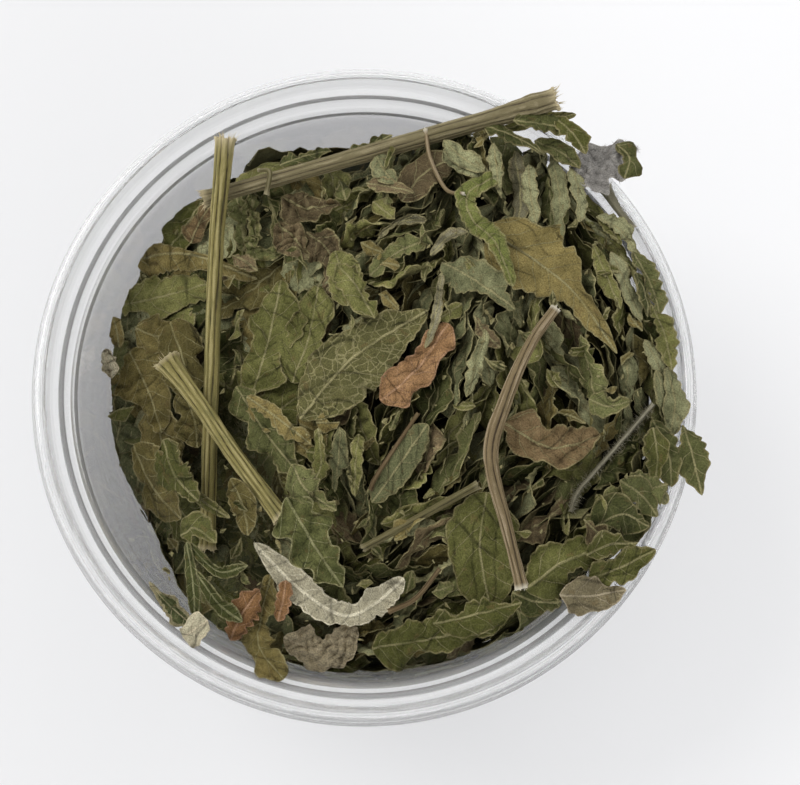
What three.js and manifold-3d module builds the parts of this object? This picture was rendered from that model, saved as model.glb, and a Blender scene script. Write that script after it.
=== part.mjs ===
// Dried epazote: crumbled dried leaves and cut stems heaped in an open, round, clear deli tub.
// Millimetres, +Z up, origin at the centre of the tub's flat base.

import * as THREE from 'three';
import { mergeVertices } from 'three/addons/utils/BufferGeometryUtils.js';
import Module from 'manifold-3d';

const wasm = await Module();
wasm.setup();

// driving dimensions of the tub
const tubHeight = 75;
const rimRadius = 58.5; // outer edge of the skirt under the rolled rim
const baseRadius = 44.5; // inside, just above the heel
const mouthRadius = 51; // inside, at the top of the tapered wall
const heelHeight = 3;
const mouthHeight = 69;
const wallThickness = 0.8;
const roundness = 48; // facets round the tub

// driving dimensions of the herb
const gap = 0.3; // between pieces that lie on each other
const wallRoom = 1.2; // kept free inside the tub's wall
const bladeThickness = 0.7;
const cellLength = 2.4; // length of a blade's facets
const coreDepth = 3.4; // from the heap's surface down to the packed core
const flakeCount = 84;
const highestDrop = 32; // a loose piece starts this far above its drawn height
const lowestDrop = -12;
const dropStep = 0.02; // fineness of its resting height

const white = 0xf2f3f4;
const oliveGreen = 0x5c6138;
const darkGreen = 0x40472a;
const greyGreen = 0x6d735a;
const brownOlive = 0x6b5f3c;
const tanBrown = 0x9a6a45;
const rust = 0x7a5638;
const silverGreen = 0x95957f;
const paleCream = 0xb5ae8c;
const stemOlive = 0x6f6b42;
const stemBrown = 0x77684d;

// repeatable scatter between 0 and 1
function scatter(i) {
  const s = Math.sin(i * 12.9898 + 4.1) * 43758.5453;
  return s - Math.floor(s);
}

function bump(x, y, cx, cy, size) {
  return Math.exp(-((x - cx) ** 2 + (y - cy) ** 2) / size ** 2);
}

// Height of the heap's surface: a sloping plane, a dome right of the middle, a fall at the wall,
// and hollows at the left, the lower left and the front.
function heapHeight(x, y) {
  const dome = Math.max(0, 1 - ((x - 8) / 60) ** 2 - ((y - 6) / 60) ** 2);
  const overEdge = Math.min(9, Math.max(0, Math.hypot(x, y) - 44));
  return 66 + 0.16 * x + 0.02 * y + 14 * dome - 0.05 * overEdge ** 2
    - 8 * bump(x, y, -50, 0, 20) - 26 * bump(x, y, -42, -23, 13) - 6 * bump(x, y, 10, -54, 16);
}

// How much deeper the bed is packed at the left, where large leaves lie over it.
function packedDepth(x) {
  return 2.2 * (1 - THREE.MathUtils.smoothstep(x, -25, 20));
}

// Inside radius of the tapered wall at a height.
function wallRadius(z) {
  const share = (z - heelHeight) / (mouthHeight - heelHeight);
  return baseRadius + (mouthRadius - baseRadius) * Math.min(1, Math.max(0, share));
}

function toManifold(geometry) {
  const bare = geometry.clone();
  bare.deleteAttribute('normal');
  bare.deleteAttribute('uv');
  const merged = mergeVertices(bare, 1e-4);
  const index = merged.index.array;
  const triangles = [];
  for (let i = 0; i < index.length; i += 3) {
    const [a, b, c] = [index[i], index[i + 1], index[i + 2]];
    if (a !== b && b !== c && c !== a) triangles.push(a, b, c);
  }
  const mesh = new wasm.Mesh({
    numProp: 3,
    vertProperties: new Float32Array(merged.attributes.position.array),
    triVerts: new Uint32Array(triangles),
  });
  return new wasm.Manifold(mesh);
}

function toGeometry(solid) {
  const mesh = solid.getMesh();
  const geometry = new THREE.BufferGeometry();
  geometry.setAttribute('position', new THREE.BufferAttribute(mesh.vertProperties, 3));
  geometry.setIndex(new THREE.BufferAttribute(mesh.triVerts, 1));
  geometry.computeVertexNormals();
  return geometry;
}

function geometryOf(vertices, triangles) {
  const geometry = new THREE.BufferGeometry();
  geometry.setAttribute('position', new THREE.Float32BufferAttribute(vertices.flat(), 3));
  geometry.setIndex(triangles.flat());
  geometry.computeVertexNormals();
  return geometry;
}

// Closed skin over rings of equal count, with a point at each end.
function skinOverRings(firstPoint, rings, lastPoint) {
  const count = rings[0].length;
  const vertices = [firstPoint, ...rings.flat(), lastPoint];
  const last = vertices.length - 1;
  const triangles = [];
  for (let k = 0; k < count; k++) {
    const next = (k + 1) % count;
    triangles.push([0, 1 + next, 1 + k]);
    for (let j = 0; j + 1 < rings.length; j++) {
      const low = 1 + j * count;
      const high = low + count;
      triangles.push([low + k, low + next, high + next], [low + k, high + next, high + k]);
    }
    triangles.push([last, last - count + k, last - count + next]);
  }
  return geometryOf(vertices, triangles);
}

// Clear tub: a lathed wall with a flat base, a stepped seat below the mouth and a rolled rim.
function tubGeometry() {
  const inside = [
    [0, wallThickness], [baseRadius - 2, wallThickness], [baseRadius - 0.5, 1.4],
    [baseRadius, heelHeight], [mouthRadius, mouthHeight], [51.4, 69.6], [52.3, 70],
    [53, 71.6], [53.2, 71.9], [54.8, 72.2], [55.5, 74.2], [55.8, 74.7], [56.5, tubHeight],
  ];
  const outside = [
    [57.3, 74.8], [57.7, 74.2], [58, 71.5], [rimRadius, 71.2], [rimRadius, 70.5], [57.2, 70.5],
    [56.9, 73.9], [56.3, 74.2], [55.6, 71.5], [53.9, 71.1], [53.3, 69.4], [52.2, 68.9],
    [mouthRadius + wallThickness, 68.2], [baseRadius + wallThickness, 2.6],
    [baseRadius + 0.1, 0.9], [baseRadius - 1.5, 0], [0, 0],
  ];
  const profile = [...inside, ...outside].reverse().map(([r, z]) => new THREE.Vector2(r, z));
  const geometry = new THREE.LatheGeometry(profile, roundness);
  geometry.rotateX(Math.PI / 2); // the lathe turns about Y, the tub stands on Z
  return geometry;
}

function along(values, u) {
  const place = u * (values.length - 1);
  const i = Math.min(values.length - 2, Math.floor(place));
  return values[i] + (values[i + 1] - values[i]) * (place - i);
}

// A dried blade: a sheet laid over the heap along a path of [x, y, height above the heap], as wide
// as its half-widths say. Across it, roll leans the sheet, curl lifts both edges as a parabola and
// fold lifts them as a V; wave ripples the edges, and the half-width steps out and in at each tooth.
// Where it would run through the tub's wall, the sheet turns up along it.
function bladeGeometry(blade, spare = 0) {
  const { path, left = blade.half, right = blade.half, roll = 0, curl = 0, fold = 0, wave = 0.12 } = blade;
  const { tooth = 0.14, across = 2 } = blade;
  const curve = new THREE.CatmullRomCurve3(path.map(([x, y, h = 0]) => new THREE.Vector3(x, y, h)));
  const cells = blade.cells ?? Math.max(3, Math.round(curve.getLength() / cellLength));
  const lean = THREE.MathUtils.degToRad(roll);

  function surface(u, v) {
    const centre = curve.getPoint(u);
    const tangent = curve.getTangent(u);
    const width = along(v < 0 ? right : left, u);
    const step = Math.round(u * cells) % 2 ? tooth : -tooth;
    const reach = v * (width * (1 + step * Math.abs(v)) + spare);
    const x = centre.x - tangent.y * reach * Math.cos(lean);
    const y = centre.y + tangent.x * reach * Math.cos(lean);
    const ripple = wave * v * Math.sin(2 * u * cells + path[0][0]);
    const rise = width * (curl * v * v + fold * Math.abs(v) + ripple);
    const z = heapHeight(x, y) + centre.z + reach * Math.sin(lean) + rise;
    const radius = Math.hypot(x, y);
    const room = z < mouthHeight ? wallRadius(z) - wallRoom : rimRadius * 2;
    const inward = Math.min(1, room / radius);
    return new THREE.Vector3(x * inward, y * inward, z + Math.max(0, radius - room));
  }

  const faces = [[], []];
  for (let i = 0; i <= cells; i++) {
    for (let j = 0; j <= across; j++) {
      const u = i / cells;
      const v = (2 * j) / across - 1;
      const uStep = 0.5 / cells;
      const lengthwise = surface(Math.min(1, u + uStep), v).sub(surface(Math.max(0, u - uStep), v));
      const crosswise = surface(u, Math.min(1, v + 0.2)).sub(surface(u, Math.max(-1, v - 0.2)));
      const normal = lengthwise.cross(crosswise).normalize();
      const point = surface(u, v);
      const half = bladeThickness / 2 + spare;
      faces[0].push(point.clone().addScaledVector(normal, half).toArray());
      faces[1].push(point.clone().addScaledVector(normal, -half).toArray());
    }
  }

  const row = across + 1;
  const under = faces[0].length;
  const triangles = [];
  for (let i = 0; i < cells; i++) {
    for (let j = 0; j < across; j++) {
      const a = i * row + j;
      const [b, c, d] = [a + 1, a + row + 1, a + row];
      triangles.push([a, d, c], [a, c, b]);
      triangles.push([a + under, c + under, d + under], [a + under, b + under, c + under]);
    }
  }
  const border = [];
  for (let i = 0; i < cells; i++) border.push(i * row);
  for (let j = 0; j < across; j++) border.push(cells * row + j);
  for (let i = cells; i > 0; i--) border.push(i * row + across);
  for (let j = across; j > 0; j--) border.push(j);
  border.forEach((a, k) => {
    const b = border[(k + 1) % border.length];
    triangles.push([b, a, a + under], [b, a + under, b + under]);
  });
  return geometryOf([...faces[0], ...faces[1]], triangles);
}

// A stem: a ridged rod swept along its points, with its own radius at each of them.
function stemGeometry(stem, spare = 0) {
  const { path, radius, ridges = 5, steps = 8 } = stem;
  const curve = new THREE.CatmullRomCurve3(path.map((point) => new THREE.Vector3(...point)));
  const sides = ridges * 2;
  const rings = [];
  for (let i = 0; i <= steps; i++) {
    const centre = curve.getPoint(i / steps);
    const tangent = curve.getTangent(i / steps);
    const sideways = new THREE.Vector3(-tangent.y, tangent.x, 0).normalize();
    const upward = tangent.clone().cross(sideways);
    const ring = [];
    for (let k = 0; k < sides; k++) {
      const angle = (2 * Math.PI * k) / sides;
      const reach = along(radius, i / steps) * (k % 2 ? 0.84 : 1) + spare;
      ring.push(centre.clone().addScaledVector(sideways, reach * Math.cos(angle))
        .addScaledVector(upward, reach * Math.sin(angle)).toArray());
    }
    rings.push(ring);
  }
  return skinOverRings(path[0], rings, path[path.length - 1]);
}

// The packed core fills the tub to the wall: its sides are crumpled, its top follows the heap.
function coreGeometry() {
  const sectors = 24;
  const sideLevels = 7;
  const topRings = 3;
  const floor = wallThickness + gap;
  const crumple = (seed) => 1.8 * scatter(seed);
  const rings = [];
  const ring = (point) => rings.push(Array.from({ length: sectors }, (_, k) => point(k)));
  const edgeHeight = (angle) => {
    const [x, y] = [(mouthRadius - 3) * Math.cos(angle), (mouthRadius - 3) * Math.sin(angle)];
    return heapHeight(x, y) - packedDepth(x) - coreDepth;
  };
  for (let j = 0; j <= sideLevels; j++) {
    ring((k) => {
      const angle = (2 * Math.PI * k) / sectors;
      const z = floor + ((edgeHeight(angle) - floor) * j) / sideLevels;
      const r = j === 0 ? baseRadius - 3 : wallRadius(z) - 0.7 - crumple(j * sectors + k);
      return [r * Math.cos(angle), r * Math.sin(angle), z];
    });
  }
  for (let j = 1; j <= topRings; j++) {
    ring((k) => {
      const angle = (2 * Math.PI * k) / sectors;
      const r = (wallRadius(edgeHeight(angle)) - 2.5) * (1 - j / (topRings + 1));
      const [x, y] = [r * Math.cos(angle), r * Math.sin(angle)];
      return [x, y, heapHeight(x, y) - packedDepth(x) - coreDepth - crumple(900 + j * sectors + k)];
    });
  }
  return skinOverRings([0, 0, floor], rings, [0, 0, heapHeight(0, 0) - coreDepth]);
}

// One flake of the bed: its lower edge is sunk in the core, its upper edge ends at the heap's
// surface. Flakes lie round the heap like tiles, flat on the left and leaning steeply on the right.
function flakeGeometry(i) {
  const reach = (mouthRadius - 5) * Math.sqrt((i + 0.5) / flakeCount);
  const angle = i * Math.PI * (3 - Math.sqrt(5));
  const [x, y] = [reach * Math.cos(angle), reach * Math.sin(angle)];
  const heading = angle + Math.PI / 2 + (scatter(i) - 0.5) * 0.9;
  const length = 4.2 + 1.6 * scatter(i + 300);
  const bend = 2 * (scatter(i + 600) - 0.5);
  const width = 2.6 + 0.8 * scatter(i + 900);
  const roll = 22 + 34 * THREE.MathUtils.smoothstep(x, -25, 20);
  const height = -0.3 - packedDepth(x) - width * Math.sin(THREE.MathUtils.degToRad(roll));
  const point = (t, side) => [
    x + length * t * Math.cos(heading) - side * Math.sin(heading),
    y + length * t * Math.sin(heading) + side * Math.cos(heading),
    height,
  ];
  return bladeGeometry({
    path: [point(-1, 0), point(0, bend), point(1, 0)],
    half: [width * 0.5, width, width * 0.85, width * 0.35],
    roll,
    across: 1,
    cells: 3,
    wave: 0,
    tooth: 0.16,
  });
}

// Bed of packed leaf under the loose pieces: the core, its flakes, all kept clear of the tub's wall.
function bedSolid() {
  const clear = 0.5;
  const room = [
    [0, wallThickness + gap], [baseRadius - 2.4, wallThickness + gap], [baseRadius - clear, heelHeight],
    [mouthRadius - clear, mouthHeight], [mouthRadius - clear, tubHeight + 30], [0, tubHeight + 30],
  ];
  const roomGeometry = new THREE.LatheGeometry(room.map(([r, z]) => new THREE.Vector2(r, z)), roundness);
  roomGeometry.rotateX(Math.PI / 2);
  let bed = toManifold(coreGeometry());
  for (let i = 0; i < flakeCount; i++) bed = bed.add(toManifold(flakeGeometry(i)));
  const bodies = bed.intersect(toManifold(roomGeometry)).decompose();
  return bodies.reduce((best, body) => (body.volume() > best.volume() ? body : best));
}

// The loose pieces, lowest first. Paths run over the heap from base to tip, half-widths along them.
const loosePieces = [
  { name: 'leaf_far_left', color: brownOlive, path: [[-43, 13], [-39.5, 1], [-36, -13]],
    half: [3, 5.4, 5.6, 5, 2.6], wave: 0.03, across: 4 },
  { name: 'leaf_left_inner', color: brownOlive, path: [[-33, 13.5], [-32.5, 2], [-30.5, -8]],
    half: [2.6, 4.6, 5, 4.6, 2.4], wave: 0.03, across: 4 },
  { name: 'leaf_left_low', color: oliveGreen, path: [[-36, -16], [-33, -20.5], [-29, -26]],
    half: [2, 3.6, 4, 3.4, 1.8], wave: 0.04 },
  { name: 'leaf_tan_knob', color: paleCream, path: [[-43.8, 9.6, 1], [-43.4, 7.4, 1], [-42.4, 5, 1]],
    half: [1.2, 2, 2.2, 1.8, 1], wave: 0.03 },
  { name: 'leaf_olive_flat', color: oliveGreen, path: [[-45.5, 19.5], [-37, 19.5], [-28.5, 20]],
    half: [2.6, 3.8, 3.8, 3.9, 2.8], wave: 0.04 },
  { name: 'leaf_folded_left', color: brownOlive, path: [[-42.5, 26.5], [-32, 26], [-19, 20]],
    half: [2.2, 2.8, 2.2, 1.6, 0.8], fold: -0.25, wave: 0.04 },
  { name: 'leaf_rust', color: rust, path: [[-31.5, 28], [-30, 31.5], [-27.5, 35.5]],
    half: [1.6, 2.2, 2.2, 1.8, 1], curl: 0.15, wave: 0.05 },
  { name: 'leaf_top_left', color: oliveGreen, path: [[-23, 37], [-18.5, 39.5], [-11.5, 40.5]],
    half: [2, 2.8, 2.6, 2, 0.8], curl: -0.2 },
  { name: 'leaf_back_left', color: darkGreen, path: [[-15, 40], [-10.5, 42], [-6, 43]],
    half: [1.2, 2, 2, 1.6, 0.6], tooth: 0.25 },
  { name: 'leaf_back_middle', color: darkGreen, path: [[-3.5, 41], [0.5, 43.5], [5, 45]],
    half: [1.4, 2.2, 2.2, 1.8, 0.6], tooth: 0.25 },
  { name: 'leaf_crinkled', color: darkGreen, path: [[-22.5, 37], [-19.5, 30.5], [-18, 23.5]],
    half: [3, 4.2, 4.2, 3.6, 2], wave: 0.1 },
  { name: 'leaf_top_strip', color: oliveGreen, path: [[24, 45.5], [31, 48], [37.5, 48.5, 1]],
    half: [0.8, 1.5, 1.6, 1.4, 0.6], roll: 15 },
  { name: 'stem_long', color: stemOlive, radius: [1.3, 1.45, 1.5, 1.6, 2],
    path: [[-28.5, 34, 73], [-1, 41, 76], [22, 47, 78.5], [35, 50, 80]] },
  { name: 'stem_upright', color: stemOlive, radius: [1.7, 1.6, 1.6, 1.5, 1.4],
    path: [[-24, 45, 78.5], [-26, 24, 74], [-27, -2, 69], [-28, -27.5, 64.5]] },
  { name: 'stem_splayed', color: stemOlive, radius: [2.3, 1.8, 1.7, 1.7, 1.6],
    path: [[-35, 5.5, 71.5], [-28.5, -2.5, 72.3], [-22.5, -12, 73.2], [-14, -23, 74.5]] },
  { name: 'leaf_fuzzy_brown', color: stemBrown, path: [[-14.5, 34], [-10.5, 27.5], [-7, 21]],
    half: [2.5, 4.4, 4.6, 3.6, 1.5], curl: 0.12, wave: 0.1 },
  { name: 'leaf_green_broad', color: oliveGreen, path: [[-18, -3.5], [-15, 7.5], [-11, 19]],
    half: [5, 7.4, 7.6, 7.4, 4.5], wave: 0.06, across: 4 },
  { name: 'leaf_green_upper', color: oliveGreen, path: [[-2.5, 13], [-3.5, 18.5], [-5, 23]],
    half: [1.5, 2.6, 2.8, 2.4, 1], wave: 0.06 },
  { name: 'leaf_brown_strip', color: brownOlive, path: [[-21.5, -1.5], [-14.5, -7.5], [-8, -12.5]],
    half: [0.8, 1.8, 2, 1.6, 0.8], curl: 0.2 },
  { name: 'leaf_dark_veined', color: darkGreen, path: [[-22.5, 0.5], [-17, -8], [-11, -15.5]],
    half: [1.6, 3, 3.2, 2.8, 1], tooth: 0.22, wave: 0.06 },
  { name: 'leaf_net_veined', color: brownOlive, path: [[-11, -6], [-2, 4], [11, 12]],
    left: [1.5, 4.4, 5.4, 4, 1.2], right: [2.4, 6, 7, 4.6, 1.6], curl: -0.08, wave: 0.05, across: 4 },
  { name: 'leaf_pale_strip', color: greyGreen, path: [[1.5, -20.5], [5.5, -15], [10.5, -8]],
    half: [1, 2.2, 2.4, 2.2, 1], curl: -0.15 },
  { name: 'leaf_tan', color: tanBrown, path: [[3, -3.5], [9.5, 1], [15, 9.5]],
    half: [1, 2.6, 3.6, 3.2, 1.6], curl: 0.12, tooth: 0.2 },
  { name: 'leaf_brown_top', color: stemBrown, path: [[6.5, 32], [10.5, 37], [16, 40]],
    half: [1.6, 3, 3.2, 3, 1.2], wave: 0.2 },
  { name: 'leaf_pale_top', color: greyGreen, path: [[14, 41.5], [17.5, 38.5], [22, 36]],
    half: [1.2, 2, 2, 1.8, 0.8], curl: 0.2 },
  { name: 'leaf_strip_left', color: silverGreen, path: [[26.5, 42], [27.5, 33], [27.5, 24]],
    half: [0.8, 1.5, 1.5, 1.3, 0.5], roll: 35 },
  { name: 'leaf_strip_right', color: greyGreen, path: [[33, 42], [34, 32], [33.5, 23]],
    half: [0.8, 2, 2, 1.6, 0.6], roll: 40 },
  { name: 'leaf_yellow_curved', color: oliveGreen, path: [[22, 35], [18, 30], [19, 22], [24.5, 12.5]],
    half: [1.6, 2, 2, 2, 0.8], fold: 0.3 },
  { name: 'leaf_olive_broad', color: brownOlive, path: [[23, 25], [34, 17], [43, 3.5]],
    left: [0.8, 3.6, 4.4, 2.2, 0.5], right: [1, 6, 6.6, 2.4, 0.5], wave: 0.08, tooth: 0.2, across: 4 },
  { name: 'leaf_brown_right', color: brownOlive, path: [[24, -7.5], [32, -11.5], [40.5, -9.5]],
    half: [1.8, 3.6, 4, 3, 1.2], curl: 0.15 },
  { name: 'leaf_right_strip', color: greyGreen, path: [[43, 23], [45.5, 17], [48, 10.5]],
    half: [0.8, 1.7, 1.8, 1.6, 0.8], roll: -25 },
  { name: 'leaf_right_edge', color: darkGreen, path: [[51, 4], [52, -3], [51, -11]],
    half: [1, 2.2, 2.4, 2, 0.8], roll: -15 },
  { name: 'leaf_green_three_sided', color: darkGreen, path: [[38.5, -3.4], [42, -4.6], [46, -3.4]],
    half: [1.6, 2.6, 2.4, 1.6, 0.5], wave: 0.05 },
  { name: 'leaf_overhanging', color: darkGreen, path: [[55.5, -7], [57.5, -12.5], [58.5, -19]],
    half: [1, 3.4, 3, 2, 0.6], tooth: 0.22 },
  { name: 'leaf_tongue', color: greyGreen, path: [[48, -16], [50.5, -18.5], [52.5, -20.5]],
    half: [1, 1.4, 1.5, 1.2, 0.6], curl: 0.4 },
  { name: 'leaf_serrated', color: darkGreen, path: [[41.5, -28.5], [45.5, -25], [49, -21]],
    half: [1.2, 2.6, 2.8, 2.2, 0.8], tooth: 0.28 },
  { name: 'leaf_smooth', color: oliveGreen, path: [[21, -19], [20, -28.5], [22, -39]],
    half: [3, 5.6, 5.8, 5, 3], wave: 0.05, across: 4 },
  { name: 'leaf_toothed_low', color: darkGreen, path: [[25.5, -36], [29.5, -36.8], [33, -36.6]],
    half: [1.2, 2, 2.2, 1.8, 0.8], wave: 0.02 },
  { name: 'leaf_folded_low', color: oliveGreen, path: [[28.5, -34.5], [34, -31.5], [40, -30.5]],
    half: [1.4, 2.8, 2.8, 2, 0.8], fold: -0.3, wave: 0.05 },
  { name: 'leaf_grey_round', color: greyGreen, path: [[35, -37.5], [40, -36.5], [46, -35]],
    half: [1.4, 2.3, 2.4, 2, 0.8], curl: 0.1, wave: 0.05 },
  { name: 'leaf_tip_low', color: oliveGreen, path: [[41.5, -32.5], [45.5, -32], [50, -30]],
    half: [1.2, 1.5, 1.5, 1.1, 0.4], wave: 0.05 },
  { name: 'leaf_bottom', color: oliveGreen, path: [[1.5, -45], [11.5, -43.5], [23.5, -41]],
    half: [2, 4, 4, 3.4, 1.6], roll: 10, wave: 0.08 },
  { name: 'leaf_pale_crumpled', color: paleCream, path: [[-14, -43], [-7.5, -45], [-1, -41.5]],
    half: [2, 3, 3.2, 2.8, 1.4], wave: 0.25 },
  { name: 'leaf_long_tip', color: brownOlive, path: [[-16, -32.5], [-18, -40], [-18, -45, 4], [-13, -51, 13]],
    half: [1.6, 1.8, 2.2, 3.6, 1.2], curl: 0.15 },
  { name: 'leaf_silver_folded', color: silverGreen, fold: 0.45, tooth: 0.08,
    path: [[-19, -27], [-11, -35], [-3.5, -39.5], [2, -37.5], [7, -33.5]], half: [0.8, 2, 2.2, 2, 0.8] },
  { name: 'leaf_centre', color: oliveGreen, path: [[-13, -20], [-8, -28.5], [-3.5, -35]],
    half: [3, 6, 5.8, 4, 1.4], fold: 0.12, across: 4 },
  { name: 'leaf_red', color: tanBrown, path: [[-23, -43], [-21, -39], [-18, -35]],
    half: [1, 1.8, 2, 1.8, 0.8], tooth: 0.25 },
  { name: 'sprig_lower_left', color: oliveGreen, path: [[-30.5, -27, 14], [-29.5, -34, 7], [-29.5, -40.5, 2]],
    half: [0.8, 1.9, 2, 1.6, 0.4], tooth: 0.05, fold: 0.2,
    lobes: [
      [[-30.5, -27, 14], [-25, -32, 4], [-20, -31, 0]],
      [[-29, -32, 9], [-25, -37.5, 2], [-21, -40.5, 0]],
    ] },
  { name: 'leaf_pale_edged', color: greyGreen, path: [[-37.5, -33.5, 14], [-34.5, -37, 8], [-30.5, -40.5, 4]],
    half: [0.4, 1.4, 2.4, 2.4, 1.8], roll: -12 },
  { name: 'leaf_cream', color: paleCream, path: [[-31, -43.4, 16], [-29.3, -42.3, 16], [-27, -40.8, 16]],
    half: [1.4, 2.2, 2.3, 2.2, 1.2], curl: 0.1 },
  { name: 'stem_petiole', color: stemBrown, radius: [0.7, 0.6, 0.7], ridges: 3, steps: 5,
    path: [[-1.5, -39.5, 73], [7.5, -38, 75], [13, -32, 78]] },
  { name: 'leaf_slender', color: oliveGreen, path: [[-32, -16, 4], [-27.5, -20, 2], [-23, -23]],
    half: [0.4, 1, 1.1, 0.9, 0.3], fold: 0.3 },
  { name: 'leaf_silver_furry', color: silverGreen, path: [[37.5, 37], [41.5, 40], [48.5, 41.5, 2]],
    half: [2.4, 4, 4.2, 3.4, 1.2], wave: 0.2 },
  { name: 'stem_grey_stalk', color: silverGreen, radius: [0.8, 0.6, 0.6], ridges: 3, steps: 4,
    path: [[42.5, 35.5, 80], [45, 31.5, 79.5], [47.5, 28.5, 79]] },
  { name: 'stem_thin_green', color: stemOlive, radius: [0.8, 0.8, 0.8], ridges: 4, steps: 5,
    path: [[0, -28.5, 79], [8.5, -24, 80.5], [19, -18, 82]] },
  { name: 'stem_bent', color: stemBrown, radius: [0.8, 1, 1.2, 1.5, 1.2, 1], steps: 10,
    path: [[33, 12.5, 85], [28.5, 5.5, 85.5], [24, -4.5, 85], [21.5, -13.5, 84], [24.5, -25, 81],
      [27, -35, 78]] },
  { name: 'stem_fuzzy', color: silverGreen, radius: [0.8, 0.7, 0.7, 0.6], ridges: 3, steps: 6,
    path: [[50, -3.5, 83], [43.5, -11, 83.5], [37, -18.5, 83], [36, -22, 82]] },
];

function pieceGeometry(piece, spare = 0) {
  if (piece.radius) return stemGeometry(piece, spare);
  if (!piece.lobes) return bladeGeometry(piece, spare);
  let solid = toManifold(bladeGeometry(piece, spare));
  for (const path of piece.lobes) solid = solid.add(toManifold(bladeGeometry({ ...piece, path }, spare)));
  return toGeometry(solid);
}

function boxesMeet(a, b) {
  return [0, 1, 2].every((k) => a.min[k] <= b.max[k] && b.min[k] <= a.max[k]);
}

// Height by which a piece is moved so that it rests: its thicker twin comes down from above until
// the next step would touch something that already lies there.
function restingShift(piece, placed) {
  const twin = toManifold(pieceGeometry(piece, gap));
  const touches = (shift) => {
    const lowered = twin.translate(0, 0, shift);
    const box = lowered.boundingBox();
    return placed.some((other) => boxesMeet(box, other.box) && !other.solid.intersect(lowered).isEmpty());
  };
  let shift = highestDrop;
  while (shift > lowestDrop && !touches(shift - 1)) shift -= 1;
  for (let step = 0.5; step > dropStep; step /= 2) {
    if (!touches(shift - step)) shift -= step;
  }
  return shift;
}

const group = new THREE.Group();
const placed = [];

function place(name, geometry, color, roughness, options = {}) {
  const material = new THREE.MeshStandardMaterial({ color, roughness, metalness: 0, ...options });
  const mesh = new THREE.Mesh(geometry, material);
  mesh.name = name;
  group.add(mesh);
  const solid = toManifold(geometry);
  placed.push({ solid, box: solid.boundingBox() });
}

place('tub', tubGeometry(), white, 0.15, { transparent: true, opacity: 0.35 });
place('leaf_bed', toGeometry(bedSolid()), darkGreen, 0.85);
for (const piece of loosePieces) {
  const geometry = pieceGeometry(piece);
  geometry.translate(0, 0, restingShift(piece, placed));
  place(piece.name, geometry, piece.color, 0.85);
}

export default group;
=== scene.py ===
import math
from functools import lru_cache

import bpy
import numpy as np
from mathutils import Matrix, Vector


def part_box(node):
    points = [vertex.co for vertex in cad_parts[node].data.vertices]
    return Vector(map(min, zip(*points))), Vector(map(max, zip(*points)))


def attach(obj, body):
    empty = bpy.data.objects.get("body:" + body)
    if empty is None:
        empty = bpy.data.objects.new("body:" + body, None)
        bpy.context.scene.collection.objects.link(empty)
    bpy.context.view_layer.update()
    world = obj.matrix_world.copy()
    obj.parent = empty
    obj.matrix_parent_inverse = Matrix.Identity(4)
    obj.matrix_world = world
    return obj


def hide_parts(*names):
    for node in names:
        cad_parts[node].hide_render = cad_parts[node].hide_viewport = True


# Dried epazote heaped in an open, round, clear tub. The sizes below are in millimetres, and a mesh
# is made in metres. +Z is up, and the tub's base stands at the origin.
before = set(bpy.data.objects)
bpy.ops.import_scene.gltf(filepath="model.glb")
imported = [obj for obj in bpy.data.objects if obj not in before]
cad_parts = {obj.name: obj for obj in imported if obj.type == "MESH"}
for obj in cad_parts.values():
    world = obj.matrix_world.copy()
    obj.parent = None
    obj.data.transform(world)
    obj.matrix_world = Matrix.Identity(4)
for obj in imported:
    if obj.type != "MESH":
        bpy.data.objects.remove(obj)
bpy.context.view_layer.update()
scene = bpy.context.scene
mm = 0.001


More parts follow.
